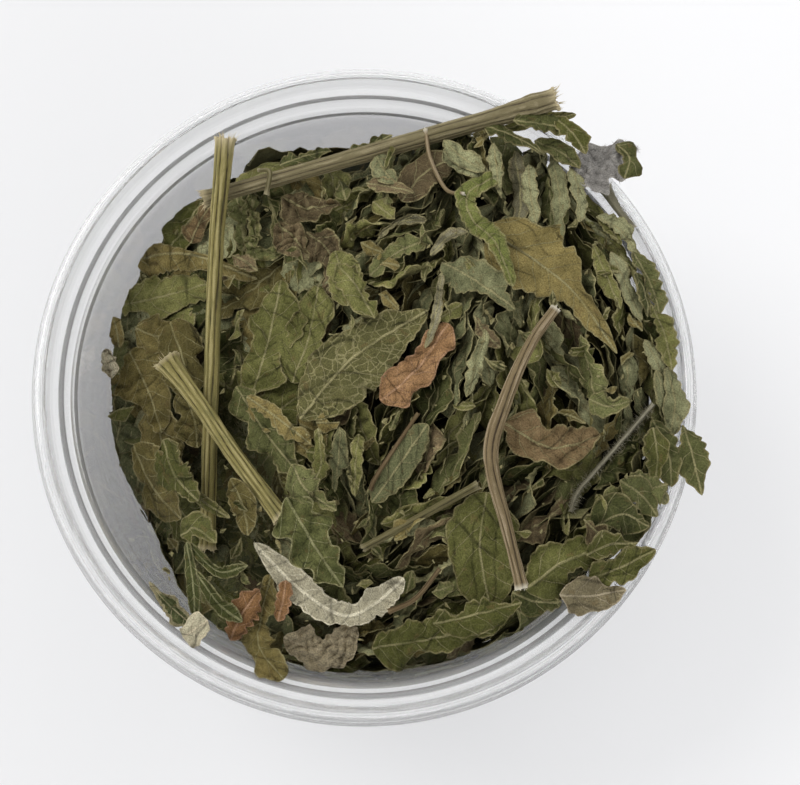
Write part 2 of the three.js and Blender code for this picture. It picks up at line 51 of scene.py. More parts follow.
# Camera, light and floor
class Nodes:
    # short hands for adding nodes to one tree and wiring them
    def __init__(self, tree):
        self.tree = tree

    def feed(self, node, inputs):
        # a socket is wired and a value is set; a colour of three numbers is opaque
        for key, value in inputs.items():
            if isinstance(value, bpy.types.NodeSocket):
                self.tree.links.new(value, node.inputs[key])
            else:
                opaque = node.inputs[key].type == "RGBA"
                node.inputs[key].default_value = (*value, 1) if opaque else value

    def add(self, kind, inputs=None, **settings):
        # one new node with its settings and inputs; the methods below give back its result
        node = self.tree.nodes.new("ShaderNode" + kind)
        for key, value in settings.items():
            setattr(node, key, value)
        self.feed(node, inputs or {})
        return node

    def maths(self, operation, a, b=0.0, c=0.0):
        return self.add("Math", {0: a, 1: b, 2: c}, operation=operation).outputs[0]

    def plus(self, a, b):
        return self.maths("ADD", a, b)

    def minus(self, a, b):
        return self.maths("SUBTRACT", a, b)

    def times(self, a, b):
        return self.maths("MULTIPLY", a, b)

    def vector(self, operation, a, *b):
        return self.add("VectorMath", {0: a, 1: b if len(b) == 3 else b[0]}, operation=operation)

    def stretch(self, place, *factors):
        # each part of a place times its own factor
        return self.vector("MULTIPLY", place, *factors).outputs[0]

    def parts(self, place):
        return self.add("SeparateXYZ", {0: place}).outputs

    def noise(self, place, scale, detail=2.0, roughness=0.5, distortion=0.0):
        inputs = {"Vector": place, "Scale": scale, "Detail": detail, "Roughness": roughness}
        return self.add("TexNoise", {**inputs, "Distortion": distortion}).outputs["Fac"]

    def cracks(self, place, scale):
        # distance to the nearest edge between scattered cells
        inputs = {"Vector": place, "Scale": scale}
        return self.add("TexVoronoi", inputs, feature="DISTANCE_TO_EDGE").outputs["Distance"]

    def ramp(self, value, low, high, out=(0.0, 1.0)):
        # 3t² - 2t³ of the way from low to high, stretched to out
        inputs = {"Value": value, "From Min": low, "From Max": high, "To Min": out[0], "To Max": out[1]}
        return self.add("MapRange", inputs, interpolation_type="SMOOTHSTEP").outputs["Result"]

    def mix(self, factor, a, b, blend="MIX"):
        return self.add("Mix", {0: factor, 6: a, 7: b}, data_type="RGBA", blend_type=blend).outputs[2]

    def scaled(self, colour, factor):
        # a colour times a number
        grey = self.add("CombineColor", {0: factor, 1: factor, 2: factor}).outputs[0]
        return self.mix(1.0, colour, grey, "MULTIPLY")

    def bump(self, height, strength, depth):
        inputs = {"Height": height, "Strength": strength, "Distance": depth * mm}
        return self.add("Bump", inputs).outputs[0]

    def value(self, name, kind="Fac"):
        # what a mesh holds by that name at each of its points
        return self.add("Attribute", attribute_name=name).outputs[kind]


def newMaterial(name):
    # a material, a hand for its nodes, and its shader
    material = bpy.data.materials.new(name)
    material.use_nodes = True
    return material, Nodes(material.node_tree), material.node_tree.nodes["Principled BSDF"]


cameraView = {"place": (6.3, -60.4, 450.3), "aim": (6.3, -1.0, 75.0), "lens": 98.2, "sensor": 36.0,
              "nearest": 10}
keyLight = {"place": (-900, 560, 1560), "aim": (0, 0, 60), "size": 900, "power": 11.5,
            "colour": (1.0, 0.985, 0.96)}
studio = {
    # the sky is brighter towards one side and dimmer overhead, where the camera is
    "skyStrength": 1.0, "skyLean": 0.3, "skyFrom": (-0.55, 0.38, 0.74), "skyColour": (1.0, 0.995, 0.985),
    "overheadFrom": 0.55, "overhead": 0.45,
    # painted light: the floor glows, which lifts the tub's shadow, and it glows a little more at its right
    # than at its left
    "floorHalf": 1500, "floorDrop": 0.2, "floorColour": (0.53, 0.535, 0.55), "floorGlow": 0.35,
    "glowReach": 70, "glowLeft": (0.85, 0.85, 0.86), "glowRight": (1.16, 1.16, 1.175),
}


def aimAt(name, data, view):
    # sets a camera or a lamp at its place, turned to its aim
    thing = bpy.data.objects.new(name, data)
    thing.location = Vector(view["place"]) * mm
    thing.rotation_euler = (Vector(view["aim"]) - Vector(view["place"])).to_track_quat("-Z", "Y").to_euler()
    scene.collection.objects.link(thing)
    return thing


def makeSky():
    # strength times (1 + lean times the cosine of the angle to the side that the light comes from),
    # falling to a share of itself overhead
    sky = bpy.data.worlds.new("studioSky")
    sky.use_nodes = True
    n = Nodes(sky.node_tree)
    way = n.add("TexCoord").outputs["Generated"]
    cosine = n.vector("DOT_PRODUCT", way, *Vector(studio["skyFrom"]).normalized()).outputs["Value"]
    strength = studio["skyStrength"]
    leaning = n.maths("MULTIPLY_ADD", cosine, strength * studio["skyLean"], strength)
    fall = n.ramp(n.parts(way)[2], studio["overheadFrom"], 1, (1, studio["overhead"]))
    n.feed(sky.node_tree.nodes["Background"],
           {"Strength": n.times(leaning, fall), "Color": studio["skyColour"]})
    return sky


def makeFloor():
    # matt white floor with the faintest tooth; its glow is painted light that fills the tub's shadow
    material, n, shader = newMaterial("floorWithPaintedGlow")
    place = n.add("TexCoord").outputs["Object"]
    reach = studio["glowReach"] * mm
    across = n.ramp(n.parts(place)[0], -reach, reach)
    n.feed(shader, {
        "Base Color": studio["floorColour"], "Roughness": 0.85, "Emission Strength": studio["floorGlow"],
        "Emission Color": n.mix(across, studio["glowLeft"], studio["glowRight"]),
        "Normal": n.bump(n.noise(place, 900.0, 3.0), 0.04, 0.1)})
    mesh = bpy.data.meshes.new("floor")
    half, low = studio["floorHalf"] * mm, -studio["floorDrop"] * mm
    mesh.from_pydata([(-half, -half, low), (half, -half, low), (half, half, low), (-half, half, low)], [],
                     [(0, 1, 2, 3)])
    mesh.materials.append(material)
    floor = bpy.data.objects.new("floor", mesh)
    scene.collection.objects.link(floor)


lens = bpy.data.cameras.new("photoView")
lens.lens = cameraView["lens"]
lens.sensor_width = cameraView["sensor"]
lens.clip_start = cameraView["nearest"] * mm
scene.camera = aimAt("photoView", lens, cameraView)
lamp = bpy.data.lights.new("keyLight", "AREA")
lamp.shape = "DISK"
lamp.size = keyLight["size"] * mm
lamp.energy = keyLight["power"]
lamp.color = keyLight["colour"]
aimAt("keyLight", lamp, keyLight)
scene.world = makeSky()
scene.view_settings.view_transform = "Standard"
makeFloor()
print("camera and light ready")


# Shapes of the tub and the heap, as the frame has them
tub = {
    "base": 44.5, "mouth": 51, "heel": 3, "mouthHeight": 69,
    # inside radius at each height, and a wide open top
    "roomHeights": [0, 3, 69, 69.6, 70, 71.6, 72.2, 74.2, 75, 75.6],
    "roomRadii": [43, 44.5, 51, 51.4, 52.3, 53, 54.8, 55.5, 56.5, 90],
}
heap = {
    # the plane's height at the middle and its two slopes; the dome's middle, reach and height
    "plane": (66, 0.16, 0.02), "dome": (8, 6, 60, 14),
    # where the fall towards the wall starts, how wide it is and how steep
    "fallFrom": 44, "fallWidth": 9, "fallRate": 0.05,
    # how much lower the small leaves lie at the left, and between which x that ends
    "packedDrop": 2.2, "packedFrom": -25, "packedTo": 20,
    # depth, middle and size of each hollow
    "hollows": [(8, -50, 0, 20), (26, -42, -23, 13), (6, 10, -54, 16), (12, -5, 55, 14)],
}


def scatter(i):
    # repeatable scatter between 0 and 1: the fraction left of a large sine
    s = np.sin(np.asarray(i, float) * 12.9898 + 4.1) * 43758.5453
    return s - np.floor(s)


def draws(start, stride):
    # a drawer of numbered scatters from one start
    return lambda k: float(scatter(start + stride * k))


def softNoise(x, y, seed):
    # scattered heights at whole numbers, joined by 3t² - 2t³ across each cell; 0 to 1
    ix, iy = np.floor(x), np.floor(y)
    tx, ty = x - ix, y - iy
    tx, ty = tx * tx * (3 - 2 * tx), ty * ty * (3 - 2 * ty)
    code = ix * 57.0 + iy * 131.0 + seed * 17.31
    low = scatter(code) * (1 - tx) + scatter(code + 57.0) * tx
    high = scatter(code + 131.0) * (1 - tx) + scatter(code + 188.0) * tx
    return low * (1 - ty) + high * ty


def smoothStep(x, low, high):
    # 3t² - 2t³ of the share t of the way from low to high
    t = np.clip((x - low) / (high - low), 0, 1)
    return t * t * (3 - 2 * t)


def zigzag(t):
    # 1 at whole numbers and 0 half way between, in straight lines
    return np.abs(2 * (t - np.floor(t)) - 1)


def unit(vectors):
    # each vector over its own length
    return vectors / np.maximum(np.linalg.norm(vectors, axis=-1), 1e-9)[..., None]


def crumple(x, y, seed):
    # Crumpled paper. Facets: the mean of three slanting zigzags, each bent by soft noise. Creases:
    # lines where a zigzag turns at its lowest, broken by noise. Both run from 0 to 1; a crease is 0.
    facets, creases = 0, 1
    for k in range(3):
        turn = 2.1 * k + 3 * float(scatter(seed + 31 * k))
        along = x * math.cos(turn) + y * math.sin(turn)
        along = (along + 1.1 * softNoise(x * 0.7 + 9, y * 0.7 + 4 * k, seed + k)) * (0.7 + 0.3 * k)
        strong = smoothStep(softNoise(x * 0.6 + 5 * k, y * 0.6 + 7, seed + 11 + k), 0.45, 0.65)
        facets = facets + zigzag(along) / 3
        creases = creases * (1 - strong * (1 - smoothStep(zigzag(along), 0.0, 0.2)))
    return facets, creases


def heapHeight(x, y):
    # a sloping plane, a dome right of the middle, a fall at the wall, and bell-shaped hollows
    base, slopeX, slopeY = heap["plane"]
    cx, cy, reach, high = heap["dome"]
    dome = np.maximum(0, 1 - ((x - cx) / reach) ** 2 - ((y - cy) / reach) ** 2)
    over = np.clip(np.hypot(x, y) - heap["fallFrom"], 0, heap["fallWidth"])
    slope = base + slopeX * x + slopeY * y
    return slope + high * dome - heap["fallRate"] * over**2 - dips(x, y, heap["hollows"])


def dips(x, y, places):
    # the sum of bells, each a depth at a place, with a size
    return sum(deep * np.exp(-((x - cx) ** 2 + (y - cy) ** 2) / size**2) for deep, cx, cy, size in places)


def packedDepth(x):
    # the small leaves lie lower on the left, under the broad ones
    return heap["packedDrop"] * (1 - smoothStep(x, heap["packedFrom"], heap["packedTo"]))


def wallRadius(z):
    # inside radius of the tapered wall
    share = np.clip((z - tub["heel"]) / (tub["mouthHeight"] - tub["heel"]), 0, 1)
    return tub["base"] + (tub["mouth"] - tub["base"]) * share


def splineThrough(points, u):
    # Catmull-Rom: on each stretch a cubic whose slopes come from the neighbouring points
    p = np.asarray(points, float)
    p = np.vstack([2 * p[0] - p[1], p, 2 * p[-1] - p[-2]])
    place = u * (len(p) - 3)
    i = np.minimum(place.astype(int), len(p) - 4)
    t = (place - i)[:, None]
    a, b, c, d = p[i], p[i + 1], p[i + 2], p[i + 3]
    return 0.5 * (2 * b + (c - a) * t + (2 * a - 5 * b + 4 * c - d) * t**2 + (3 * b - a - 3 * c + d) * t**3)


def pathLength(path, count):
    # the sum of the chords between that many points of the spline
    return np.linalg.norm(np.diff(splineThrough(path, np.linspace(0, 1, count)), axis=0), axis=1).sum()


# Meshes
def ringFaces(rings, sides):
    # quads between closed rings, and a fan at each end to the two poles that follow the rings
    index = np.arange(rings * sides).reshape(rings, sides)
    after = np.roll(index, -1, axis=1)
    quads = np.stack([index[:-1], after[:-1], after[1:], index[1:]], -1).reshape(-1, 4)
    first, last = np.full(sides, index.size), np.full(sides, index.size + 1)
    caps = [np.stack([first, after[0], index[0]], -1), np.stack([last, index[-1], after[-1]], -1)]
    return {"quads": quads, "triangles": np.concatenate(caps)}


@lru_cache(maxsize=None)
def sheetFaces(rows, columns):
    # quads of a sheet's upper face, its lower face and the strip round its border
    index = np.arange(rows * columns).reshape(rows, columns)
    a, b, c, d = index[:-1, :-1], index[:-1, 1:], index[1:, 1:], index[1:, :-1]
    upper = np.stack([a, d, c, b], -1).reshape(-1, 4)
    lower = np.stack([a, b, c, d], -1).reshape(-1, 4) + index.size
    ring = np.concatenate([index[:-1, 0], index[-1, :-1], index[:0:-1, -1], index[0, :0:-1]])
    after = np.roll(ring, -1)
    return np.concatenate([upper, lower, np.stack([after, ring, ring + index.size, after + index.size], -1)])


leafBasics = {
    "roll": 0, "curl": 0, "fold": 0, "wave": 0.12, "tooth": 0.06, "toothGap": 1.7, "ragged": 0.34,
    "crinkle": 0.5, "wrinkle": 3.4, "edgeLift": 0.34, "ruffle": 2.4, "thickness": 0.2, "rib": 0, "tone": 0.5,
    "height": 0, "onHeap": 1, "taper": 0.7, "marginWidth": 1.2, "veinGap": 3.6, "ribWidth": 0.42,
}


def blade(path, left, right=None, **more):
    # a leaf's centre line from base to tip over the heap, and its half-widths along the line on the
    # left and the right, or on both sides; what else is given differs from leafBasics
    return {"path": path, "left": left, "right": right or left, **more}


def torn(*blades, **shared):
    # a leaf torn across: blades, one over the next, with values that they share
    return [{**shared, **blade} for blade in blades]


def leafSheet(leaf, step, seed):
    # A blade over the heap: centre line plus across v times the half-width, leaning by roll. Curl adds
    # a parabola, fold a V, wave a ripple at the edges. The outline is torn, with teeth here and there;
    # crumpled facets, puckers, side veins and a sunken or raised midrib give the relief.
    leaf = {**leafBasics, **leaf}
    path = [(*p[:2], p[2] if len(p) > 2 else 0) for p in leaf["path"]]
    length = pathLength(path, 40)
    widest = max(*leaf["left"], *leaf["right"])
    u = np.linspace(0, 1, leaf.get("rows", max(6, int(length / step))) + 1)
    v = np.linspace(-1, 1, leaf.get("columns", 2 * max(3, int(widest / step))) + 1)[None, :]
    centre = splineThrough(path, u)
    tangent = unit(np.gradient(centre, axis=0))
    arc = (u * length)[:, None]
    fromEnd = np.minimum(u, 1 - u)[:, None] * length / (leaf["taper"] * widest)
    corner = 0.1 + 0.9 * np.sqrt(1 - (1 - np.clip(fromEnd, 0, 1)) ** 2)
    width = []
    for side, half in enumerate((leaf["right"], leaf["left"])):
        rough = lambda gap, row, k: softNoise(arc / gap, row, seed + k)
        plain = np.maximum(0.1, splineThrough(np.stack([half, half], 1), u)[:, :1])
        notch = zigzag(arc / leaf["toothGap"] + 0.8 * rough(5, 3.0 * side, 0) + side * 0.4) ** 1.4
        teeth = leaf["tooth"] * smoothStep(softNoise(arc / 4 + 7, 5.0 * side, seed + 4), 0.25, 0.6)
        rip = rough(3.4, 7.0 + side, 5) - 0.5 - 0.9 * smoothStep(rough(4.3, 2.0 + 5 * side, 8), 0.62, 0.8)
        nibbled = rough(1.3, 9.0 + side, 6) + 0.4 * rough(0.55, 11.0 + side, 7) - 0.7
        uneven = teeth * (0.8 - 2 * notch) * 3 + 1.2 * leaf["ragged"] * nibbled
        width.append((plain * (1 + leaf["ragged"] * rip) + uneven * np.minimum(1, plain / 2.4)) * corner)
    width = np.where(v < 0, *width)
    reach = v * width
    along = arc + seed * 3.7
    facets, creases = crumple(along / leaf["wrinkle"], reach / leaf["wrinkle"] + 5, seed)
    pucker = softNoise(along / 0.9, reach / 0.9 + 3, seed + 2) - 0.5
    sideVein = np.cos(2 * np.pi * (arc - 1.1 * np.abs(reach)) / leaf["veinGap"])
    relief = leaf["crinkle"] * (1.7 * (facets - 0.5) + 0.4 * pucker - 0.2 * sideVein * np.abs(v))
    relief = relief + (leaf["rib"] - 0.4 * leaf["crinkle"]) * np.exp(-((reach / leaf["ribWidth"]) ** 2))
    outer = np.clip((np.abs(v) - 0.55) / 0.45, 0, 1) ** 2
    turned = softNoise(arc / 3.4, np.sign(v) * 4 + 8, seed + 9) * 2 - 0.8
    relief = relief + leaf["edgeLift"] * np.minimum(width, 4) * outer * turned
    ruffles = max(3, round(length / leaf["ruffle"]))
    ripple = leaf["wave"] * v * np.sin(2 * u[:, None] * ruffles + path[0][0])
    rise = width * (leaf["curl"] * v**2 + leaf["fold"] * np.abs(v) + ripple) + relief
    cosine, sine = math.cos(math.radians(leaf["roll"])), math.sin(math.radians(leaf["roll"]))
    across = reach * cosine - rise * sine
    drift = 0.35 * leaf["crinkle"] * (softNoise(arc / 1.7, reach / 1.7, seed + 3) - 0.5)
    x = centre[:, :1] - tangent[:, 1:2] * across + drift
    y = centre[:, 1:2] + tangent[:, :1] * across - drift
    z = centre[:, 2:3] + reach * sine + rise * cosine + leaf["height"] + heapHeight(x, y) * leaf["onHeap"]
    return {
        "place": np.stack([x, y, z], -1),
        "uv": np.stack([np.broadcast_to(arc, reach.shape), reach], -1) / 10 + [scatter(seed) * 7, 0],
        "margin": np.clip(1 - (1 - np.abs(v)) * width / leaf["marginWidth"], 0, 1),
        # painted shade: the crease value darkens the colour along the crease lines and on low facets
        "crease": 0.8 * creases + 0.2 * facets, "tone": leaf["tone"], "thickness": leaf["thickness"],
    }


def insideTub(sheet, clearance=0.8):
    # pulls a sheet in to the tub's inside radius at its height and turns what is over up the wall
    x, y, z = np.moveaxis(sheet["place"], -1, 0)
    radius = np.maximum(np.hypot(x, y), 0.01)
    room = np.interp(z, tub["roomHeights"], tub["roomRadii"]) - clearance
    share = np.minimum(1, room / radius)
    sheet["place"] = np.stack([x * share, y * share, z + 0.6 * np.maximum(0, radius - room)], -1)
    return sheet


def overRim(sheet, clearance=0.3):
    # lifts a sheet that hangs over the rim clear of the seat and the rim's top
    x, y, z = np.moveaxis(sheet["place"], -1, 0)
    radius = np.hypot(x, y)
    lowest = np.interp(radius + clearance, tub["roomRadii"][2:], tub["roomHeights"][2:]) + clearance
    sheet["place"][..., 2] = np.where(radius > tub["mouth"] - 1, np.maximum(z, lowest), z)
    return sheet


def closeSheet(sheet):
    # two skins, half a thickness to each side along the normals, thinner to the edge, and a border
    place = sheet["place"]
    normal = unit(np.cross(np.gradient(place, axis=0), np.gradient(place, axis=1)))
    offset = normal * 0.5 * sheet["thickness"] * (1 - 0.4 * sheet["margin"][..., None] ** 4)
    count = place.shape[0] * place.shape[1]
    return {
        "points": np.concatenate([place + offset, place - offset]).reshape(-1, 3),
        "quads": sheetFaces(*place.shape[:2]), "uv": np.tile(sheet["uv"].reshape(-1, 2), (2, 1)),
        "margin": np.tile(sheet["margin"].ravel(), 2), "crease": np.tile(sheet["crease"].ravel(), 2),
        "tone": np.full(count * 2, sheet["tone"]), "under": np.repeat([0.0, 1.0], count),
    }


# Finishes
leafSkin = {
    # along and across the leaf in centimetres: gap of the side veins, cells of the net and of the
    # split lines, and how fine the blotches, the specks and the grain are
    "veinGap": 0.36, "netCells": 6.0, "splitCells": 2.0, "blotches": 5.0, "specks": 15.0, "grain": 38.0,
    "bump": 0.9, "bumpDepth": 0.25, "gloss": 0.08,
}


def newGroup(name, **sockets):
    # a node group whose inputs are listed by their kind; it puts out a colour, roughness and height
    group = bpy.data.node_groups.new(name, "ShaderNodeTree")
    for kind, names in sockets.items():
        for socket in names.split():
            group.interface.new_socket(socket, in_out="INPUT", socket_type="NodeSocket" + kind)
    for socket, kind in (("Colour", "Color"), ("Roughness", "Float"), ("Height", "Float")):
        group.interface.new_socket(socket, in_out="OUTPUT", socket_type="NodeSocket" + kind)
    return group, Nodes(group), group.nodes.new("NodeGroupInput").outputs, group.nodes.new("NodeGroupOutput")


def makeLeafGroup():
    # A dried leaf's skin. The map gives centimetres along and across. Midrib, slanting side veins and
    # a fine net are pale; blotches are brown, the margin is dry, and fine wrinkles go to the height.
    group, n, given, out = newGroup("driedLeaf", Vector="Map", Color="Leaf Second Vein Dry",
                                    Float="Tone Margin Crease Under Veining Net Rib Edge Dryness")
    skin, gap = given["Map"], leafSkin["veinGap"]
    most = lambda a, b: n.maths("MAXIMUM", a, b)
    size = lambda a: n.maths("ABSOLUTE", a)
    along, across, _ = n.parts(skin)
    wander = n.minus(n.noise(skin, 2.2), 0.5)
    side = n.plus(size(across), n.times(wander, 0.06))
    place = n.plus(n.minus(along, side), n.times(wander, 0.35))
    nearRib = n.times(size(n.minus(n.maths("FRACT", n.maths("DIVIDE", place, gap)), 0.5)), gap)
    rib = n.ramp(n.maths("DIVIDE", size(across), given["Rib"]), 0.026, 0.012)
    sideRib = n.ramp(nearRib, 0.014, 0.005)
    warp = n.add("CombineXYZ", {0: wander, 1: n.times(wander, -0.7)}).outputs[0]
    bent = lambda far: n.vector("ADD", skin, n.stretch(warp, far, far, 0)).outputs[0]
    net = n.cracks(bent(0.2), leafSkin["netCells"])
    veins = most(rib, n.times(sideRib, 0.8))
    veins = most(veins, n.times(n.ramp(net, 0.07, 0.02), given["Net"]))
    patchy = n.ramp(n.noise(skin, 1.7, 3.0), 0.3, 0.6, (0.3, 1.0))
    veins = n.times(n.times(veins, patchy), given["Veining"])
    broad = n.noise(skin, 2.4, 4.0, 0.6)
    grain = n.noise(skin, leafSkin["grain"], 3.0, 0.8)
    blend = n.maths("MULTIPLY_ADD", given["Tone"], 0.9, n.maths("MULTIPLY_ADD", broad, 0.7, -0.35))
    colour = n.mix(n.ramp(blend, 0.1, 0.8), given["Leaf"], given["Second"])
    blotch = n.ramp(n.noise(skin, leafSkin["blotches"], 4.0, 0.65, 0.4), 0.58, 0.66)
    dried = n.ramp(n.maths("MULTIPLY_ADD", broad, 0.8, n.minus(given["Margin"], 0.4)), 0.5, 1.0)
    colour = n.mix(n.times(most(blotch, n.times(dried, 0.8)), given["Dryness"]), colour, given["Dry"])
    colour = n.mix(n.times(given["Under"], 0.42), colour, given["Vein"])
    colour = n.mix(veins, colour, given["Vein"])
    edge = n.ramp(n.plus(given["Margin"], given["Edge"]), 0.74, 0.9)
    edge = n.times(edge, n.ramp(n.plus(broad, given["Edge"]), 0.3, 0.6, (0.05, 0.55)))
    colour = n.mix(edge, colour, given["Vein"])
    shade = n.times(n.ramp(grain, 0.3, 0.7, (0.6, 1.42)), n.ramp(broad, 0.3, 0.7, (0.88, 1.12)))
    shade = n.times(shade, n.ramp(n.noise(skin, leafSkin["specks"], 2.0, 0.6), 0.32, 0.4, (0.66, 1.0)))
    # painted shade and light: a low crease value darkens the colour, as shade in creases and deep in the
    # heap; a value over 0.8 lightens it, as light on leaves that stand high
    shade = n.times(shade, n.ramp(given["Crease"], 0.0, 0.8, (0.45, 1.0)))
    shade = n.times(shade, n.ramp(given["Crease"], 0.8, 1.3, (1.0, 1.4)))
    # dark lines along the split cells: the leaf's fine splits, darkened as painted shade
    split = n.plus(n.cracks(bent(0.9), leafSkin["splitCells"]),
                   n.ramp(n.noise(skin, 1.3, 2.0), 0.5, 0.62, (0.1, 0.0)))
    shade = n.times(shade, n.ramp(split, 0.008, 0.035, (0.5, 1.0)))
    height = n.plus(n.times(n.ramp(net, 0.0, 0.35), 0.5), n.times(most(rib, sideRib), 0.5))
    height = n.plus(height, n.times(n.noise(skin, 12.0, 5.0, 0.65), 0.9))
    n.feed(out, {"Colour": n.scaled(colour, shade), "Roughness": n.ramp(grain, 0.2, 0.8, (0.62, 0.86)),
                 "Height": n.plus(height, n.times(grain, 0.35))})
    return group


driedLeaf = makeLeafGroup()
leafFinish = dict(vein=(0.27, 0.245, 0.125), dry=(0.125, 0.085, 0.036), veining=0.85, net=0.14, rib=1.0,
                  edge=0.0, dryness=0.4)
leafFinishes = {
    "darkGreenLeaf": dict(slot="dark_green_leaf", leaf=(0.043, 0.048, 0.015), second=(0.125, 0.13, 0.05)),
    "oliveLeaf": dict(slot="olive_leaf", leaf=(0.068, 0.071, 0.019), second=(0.18, 0.178, 0.062)),
    "limeLeaf": dict(slot="olive_leaf", leaf=(0.092, 0.108, 0.028), second=(0.155, 0.168, 0.052)),
    "brownOliveLeaf": dict(slot="brown_olive_leaf", leaf=(0.088, 0.074, 0.025), second=(0.205, 0.163, 0.06)),
    "netVeinedLeaf": dict(slot="brown_olive_leaf", leaf=(0.082, 0.08, 0.03), second=(0.125, 0.114, 0.046),
        veining=1, net=0.6),
    "russetLeaf": dict(slot="brown_olive_leaf", leaf=(0.15, 0.105, 0.05), second=(0.22, 0.155, 0.085)),
    "greyGreenLeaf": dict(slot="grey_green_leaf", leaf=(0.105, 0.11, 0.052), second=(0.275, 0.275, 0.15)),
    "silverLeaf": dict(slot="silver_leaf", leaf=(0.31, 0.285, 0.2), second=(0.44, 0.405, 0.29),
        vein=(0.72, 0.67, 0.51), dryness=0.1, rib=1.4),
    "furryLeaf": dict(slot="silver_leaf", leaf=(0.23, 0.222, 0.21), second=(0.36, 0.345, 0.325),
        vein=(0.4, 0.38, 0.35), dryness=0.1),
    "greyStrip": dict(slot="silver_leaf", leaf=(0.15, 0.14, 0.085), second=(0.23, 0.215, 0.145)),
    "paleEdgedLeaf": dict(slot="grey_green_leaf", leaf=(0.06, 0.07, 0.028), second=(0.12, 0.13, 0.055),
        vein=(0.38, 0.33, 0.2), edge=0.35),
    "creamLeaf": dict(slot="cream_leaf", leaf=(0.34, 0.31, 0.2), second=(0.43, 0.395, 0.28),
        vein=(0.55, 0.48, 0.34), dryness=0.3),
    "drabLeaf": dict(slot="cream_leaf", leaf=(0.17, 0.145, 0.085), second=(0.3, 0.255, 0.165),
        vein=(0.42, 0.36, 0.25)),
    "tanLeaf": dict(slot="tan_leaf", leaf=(0.19, 0.102, 0.044), second=(0.28, 0.165, 0.079),
        vein=(0.38, 0.235, 0.14), dry=(0.12, 0.06, 0.034), dryness=0.5),
    "rustLeaf": dict(slot="rust_leaf", leaf=(0.105, 0.07, 0.034), second=(0.165, 0.115, 0.056)),
    "brownLeaf": dict(slot="brown_leaf", leaf=(0.085, 0.064, 0.034), second=(0.16, 0.12, 0.066)),
    "ribbedLeaf": dict(slot="olive_leaf", leaf=(0.055, 0.062, 0.02), second=(0.18, 0.18, 0.07),
        vein=(0.33, 0.32, 0.17), rib=1.1, veining=0.65, net=0.08),
    # painted shade: near black, standing in for the shaded depths of the pack
    "packedCore": dict(slot="dark_green_leaf", leaf=(0.012, 0.013, 0.006), second=(0.02, 0.018, 0.009),
        veining=0),
}


def makeLeafMaterial(name, finish):
    # the leaf group with the finish's colours and the mesh's own values
    material, n, shader = newMaterial(name)
    looks = {key.title(): value for key, value in {**leafFinish, **finish}.items() if key != "slot"}
    shown = {key.title(): n.value(key) for key in ("tone", "margin", "crease", "under")}
    leafMap = n.add("UVMap", uv_map="leafMap").outputs[0]
    skin = n.add("Group", {**looks, **shown, "Map": leafMap}, node_tree=driedLeaf).outputs
    n.feed(shader, {"Base Color": skin["Colour"], "Roughness": skin["Roughness"],
                    "Normal": n.bump(skin["Height"], leafSkin["bump"], leafSkin["bumpDepth"]),
                    "Specular IOR Level": leafSkin["gloss"]})
    return material


stemFinishes = {
    "oliveStem": dict(slot="olive_stem", groove=(0.042, 0.031, 0.015), ridge=(0.23, 0.198, 0.07),
        second=(0.12, 0.118, 0.05), pale=(0.36, 0.31, 0.14), pith=(0.56, 0.48, 0.3)),
    "dullStem": dict(slot="olive_stem", groove=(0.06, 0.045, 0.028), ridge=(0.185, 0.157, 0.085),
        second=(0.135, 0.118, 0.058), pale=(0.29, 0.25, 0.15), pith=(0.56, 0.48, 0.3)),
    "mossStem": dict(slot="olive_stem", groove=(0.03, 0.026, 0.012), ridge=(0.13, 0.112, 0.05),
        second=(0.09, 0.085, 0.034), pale=(0.22, 0.195, 0.11), pith=(0.42, 0.37, 0.24)),
    "darkStem": dict(slot="brown_stem", groove=(0.03, 0.02, 0.012), ridge=(0.13, 0.09, 0.045),
        second=(0.1, 0.066, 0.032), pale=(0.22, 0.165, 0.09), pith=(0.36, 0.28, 0.16)),
    "brownStem": dict(slot="brown_stem", groove=(0.035, 0.024, 0.015), ridge=(0.2, 0.15, 0.08),
        second=(0.135, 0.105, 0.052), pale=(0.34, 0.27, 0.175), pith=(0.72, 0.68, 0.56)),
    "greyStem": dict(slot="grey_stem", groove=(0.1, 0.092, 0.06), ridge=(0.21, 0.195, 0.135),
        second=(0.16, 0.155, 0.1), pale=(0.34, 0.32, 0.24), pith=(0.4, 0.37, 0.28)),
}


def makeStemMaterial(name, finish):
    # stripes along the stem: pale on the ridges, dark in the grooves, fibres and flecks between
    material, n, shader = newMaterial(name)
    place = n.value("stemPlace", "Vector")
    fibre = n.noise(n.stretch(place, 0.35, 6.0, 6.0), 2.2, 5.0, 0.7)
    fleck = n.noise(n.stretch(place, 3.0, 3.0, 3.0), 6.0, 3.0, 0.7)
    slow = n.noise(n.stretch(place, 0.12, 0.8, 0.8), 2.0, 2.0)
    lift = n.plus(n.times(n.minus(fibre, 0.5), 0.9), n.value("ridge"))
    colour = n.mix(n.ramp(lift, 0.15, 0.62), finish["groove"], finish["ridge"])
    colour = n.mix(n.ramp(slow, 0.45, 0.75, (0.0, 0.55)), colour, finish["second"])
    colour = n.mix(n.ramp(n.plus(lift, n.times(fleck, 0.3)), 0.95, 1.25), colour, finish["pale"])
    colour = n.mix(n.value("cut"), colour, finish["pith"])
    height = n.plus(n.times(fibre, 0.9), n.times(fleck, 0.35))
    n.feed(shader, {"Base Color": n.scaled(colour, n.ramp(fleck, 0.3, 0.7, (0.7, 1.25))),
                    "Normal": n.bump(height, 0.7, 0.2), "Roughness": 0.68, "Specular IOR Level": 0.15})
    return material


tubFinish = {"slot": "clear_plastic", "clear": 0.84, "bending": 1.46, "wall": (0.78, 0.78, 0.79),
             "rim": (0.97, 0.975, 0.98), "streaks": 260.0, "waves": 60.0, "bump": 0.25, "bumpDepth": 0.5}


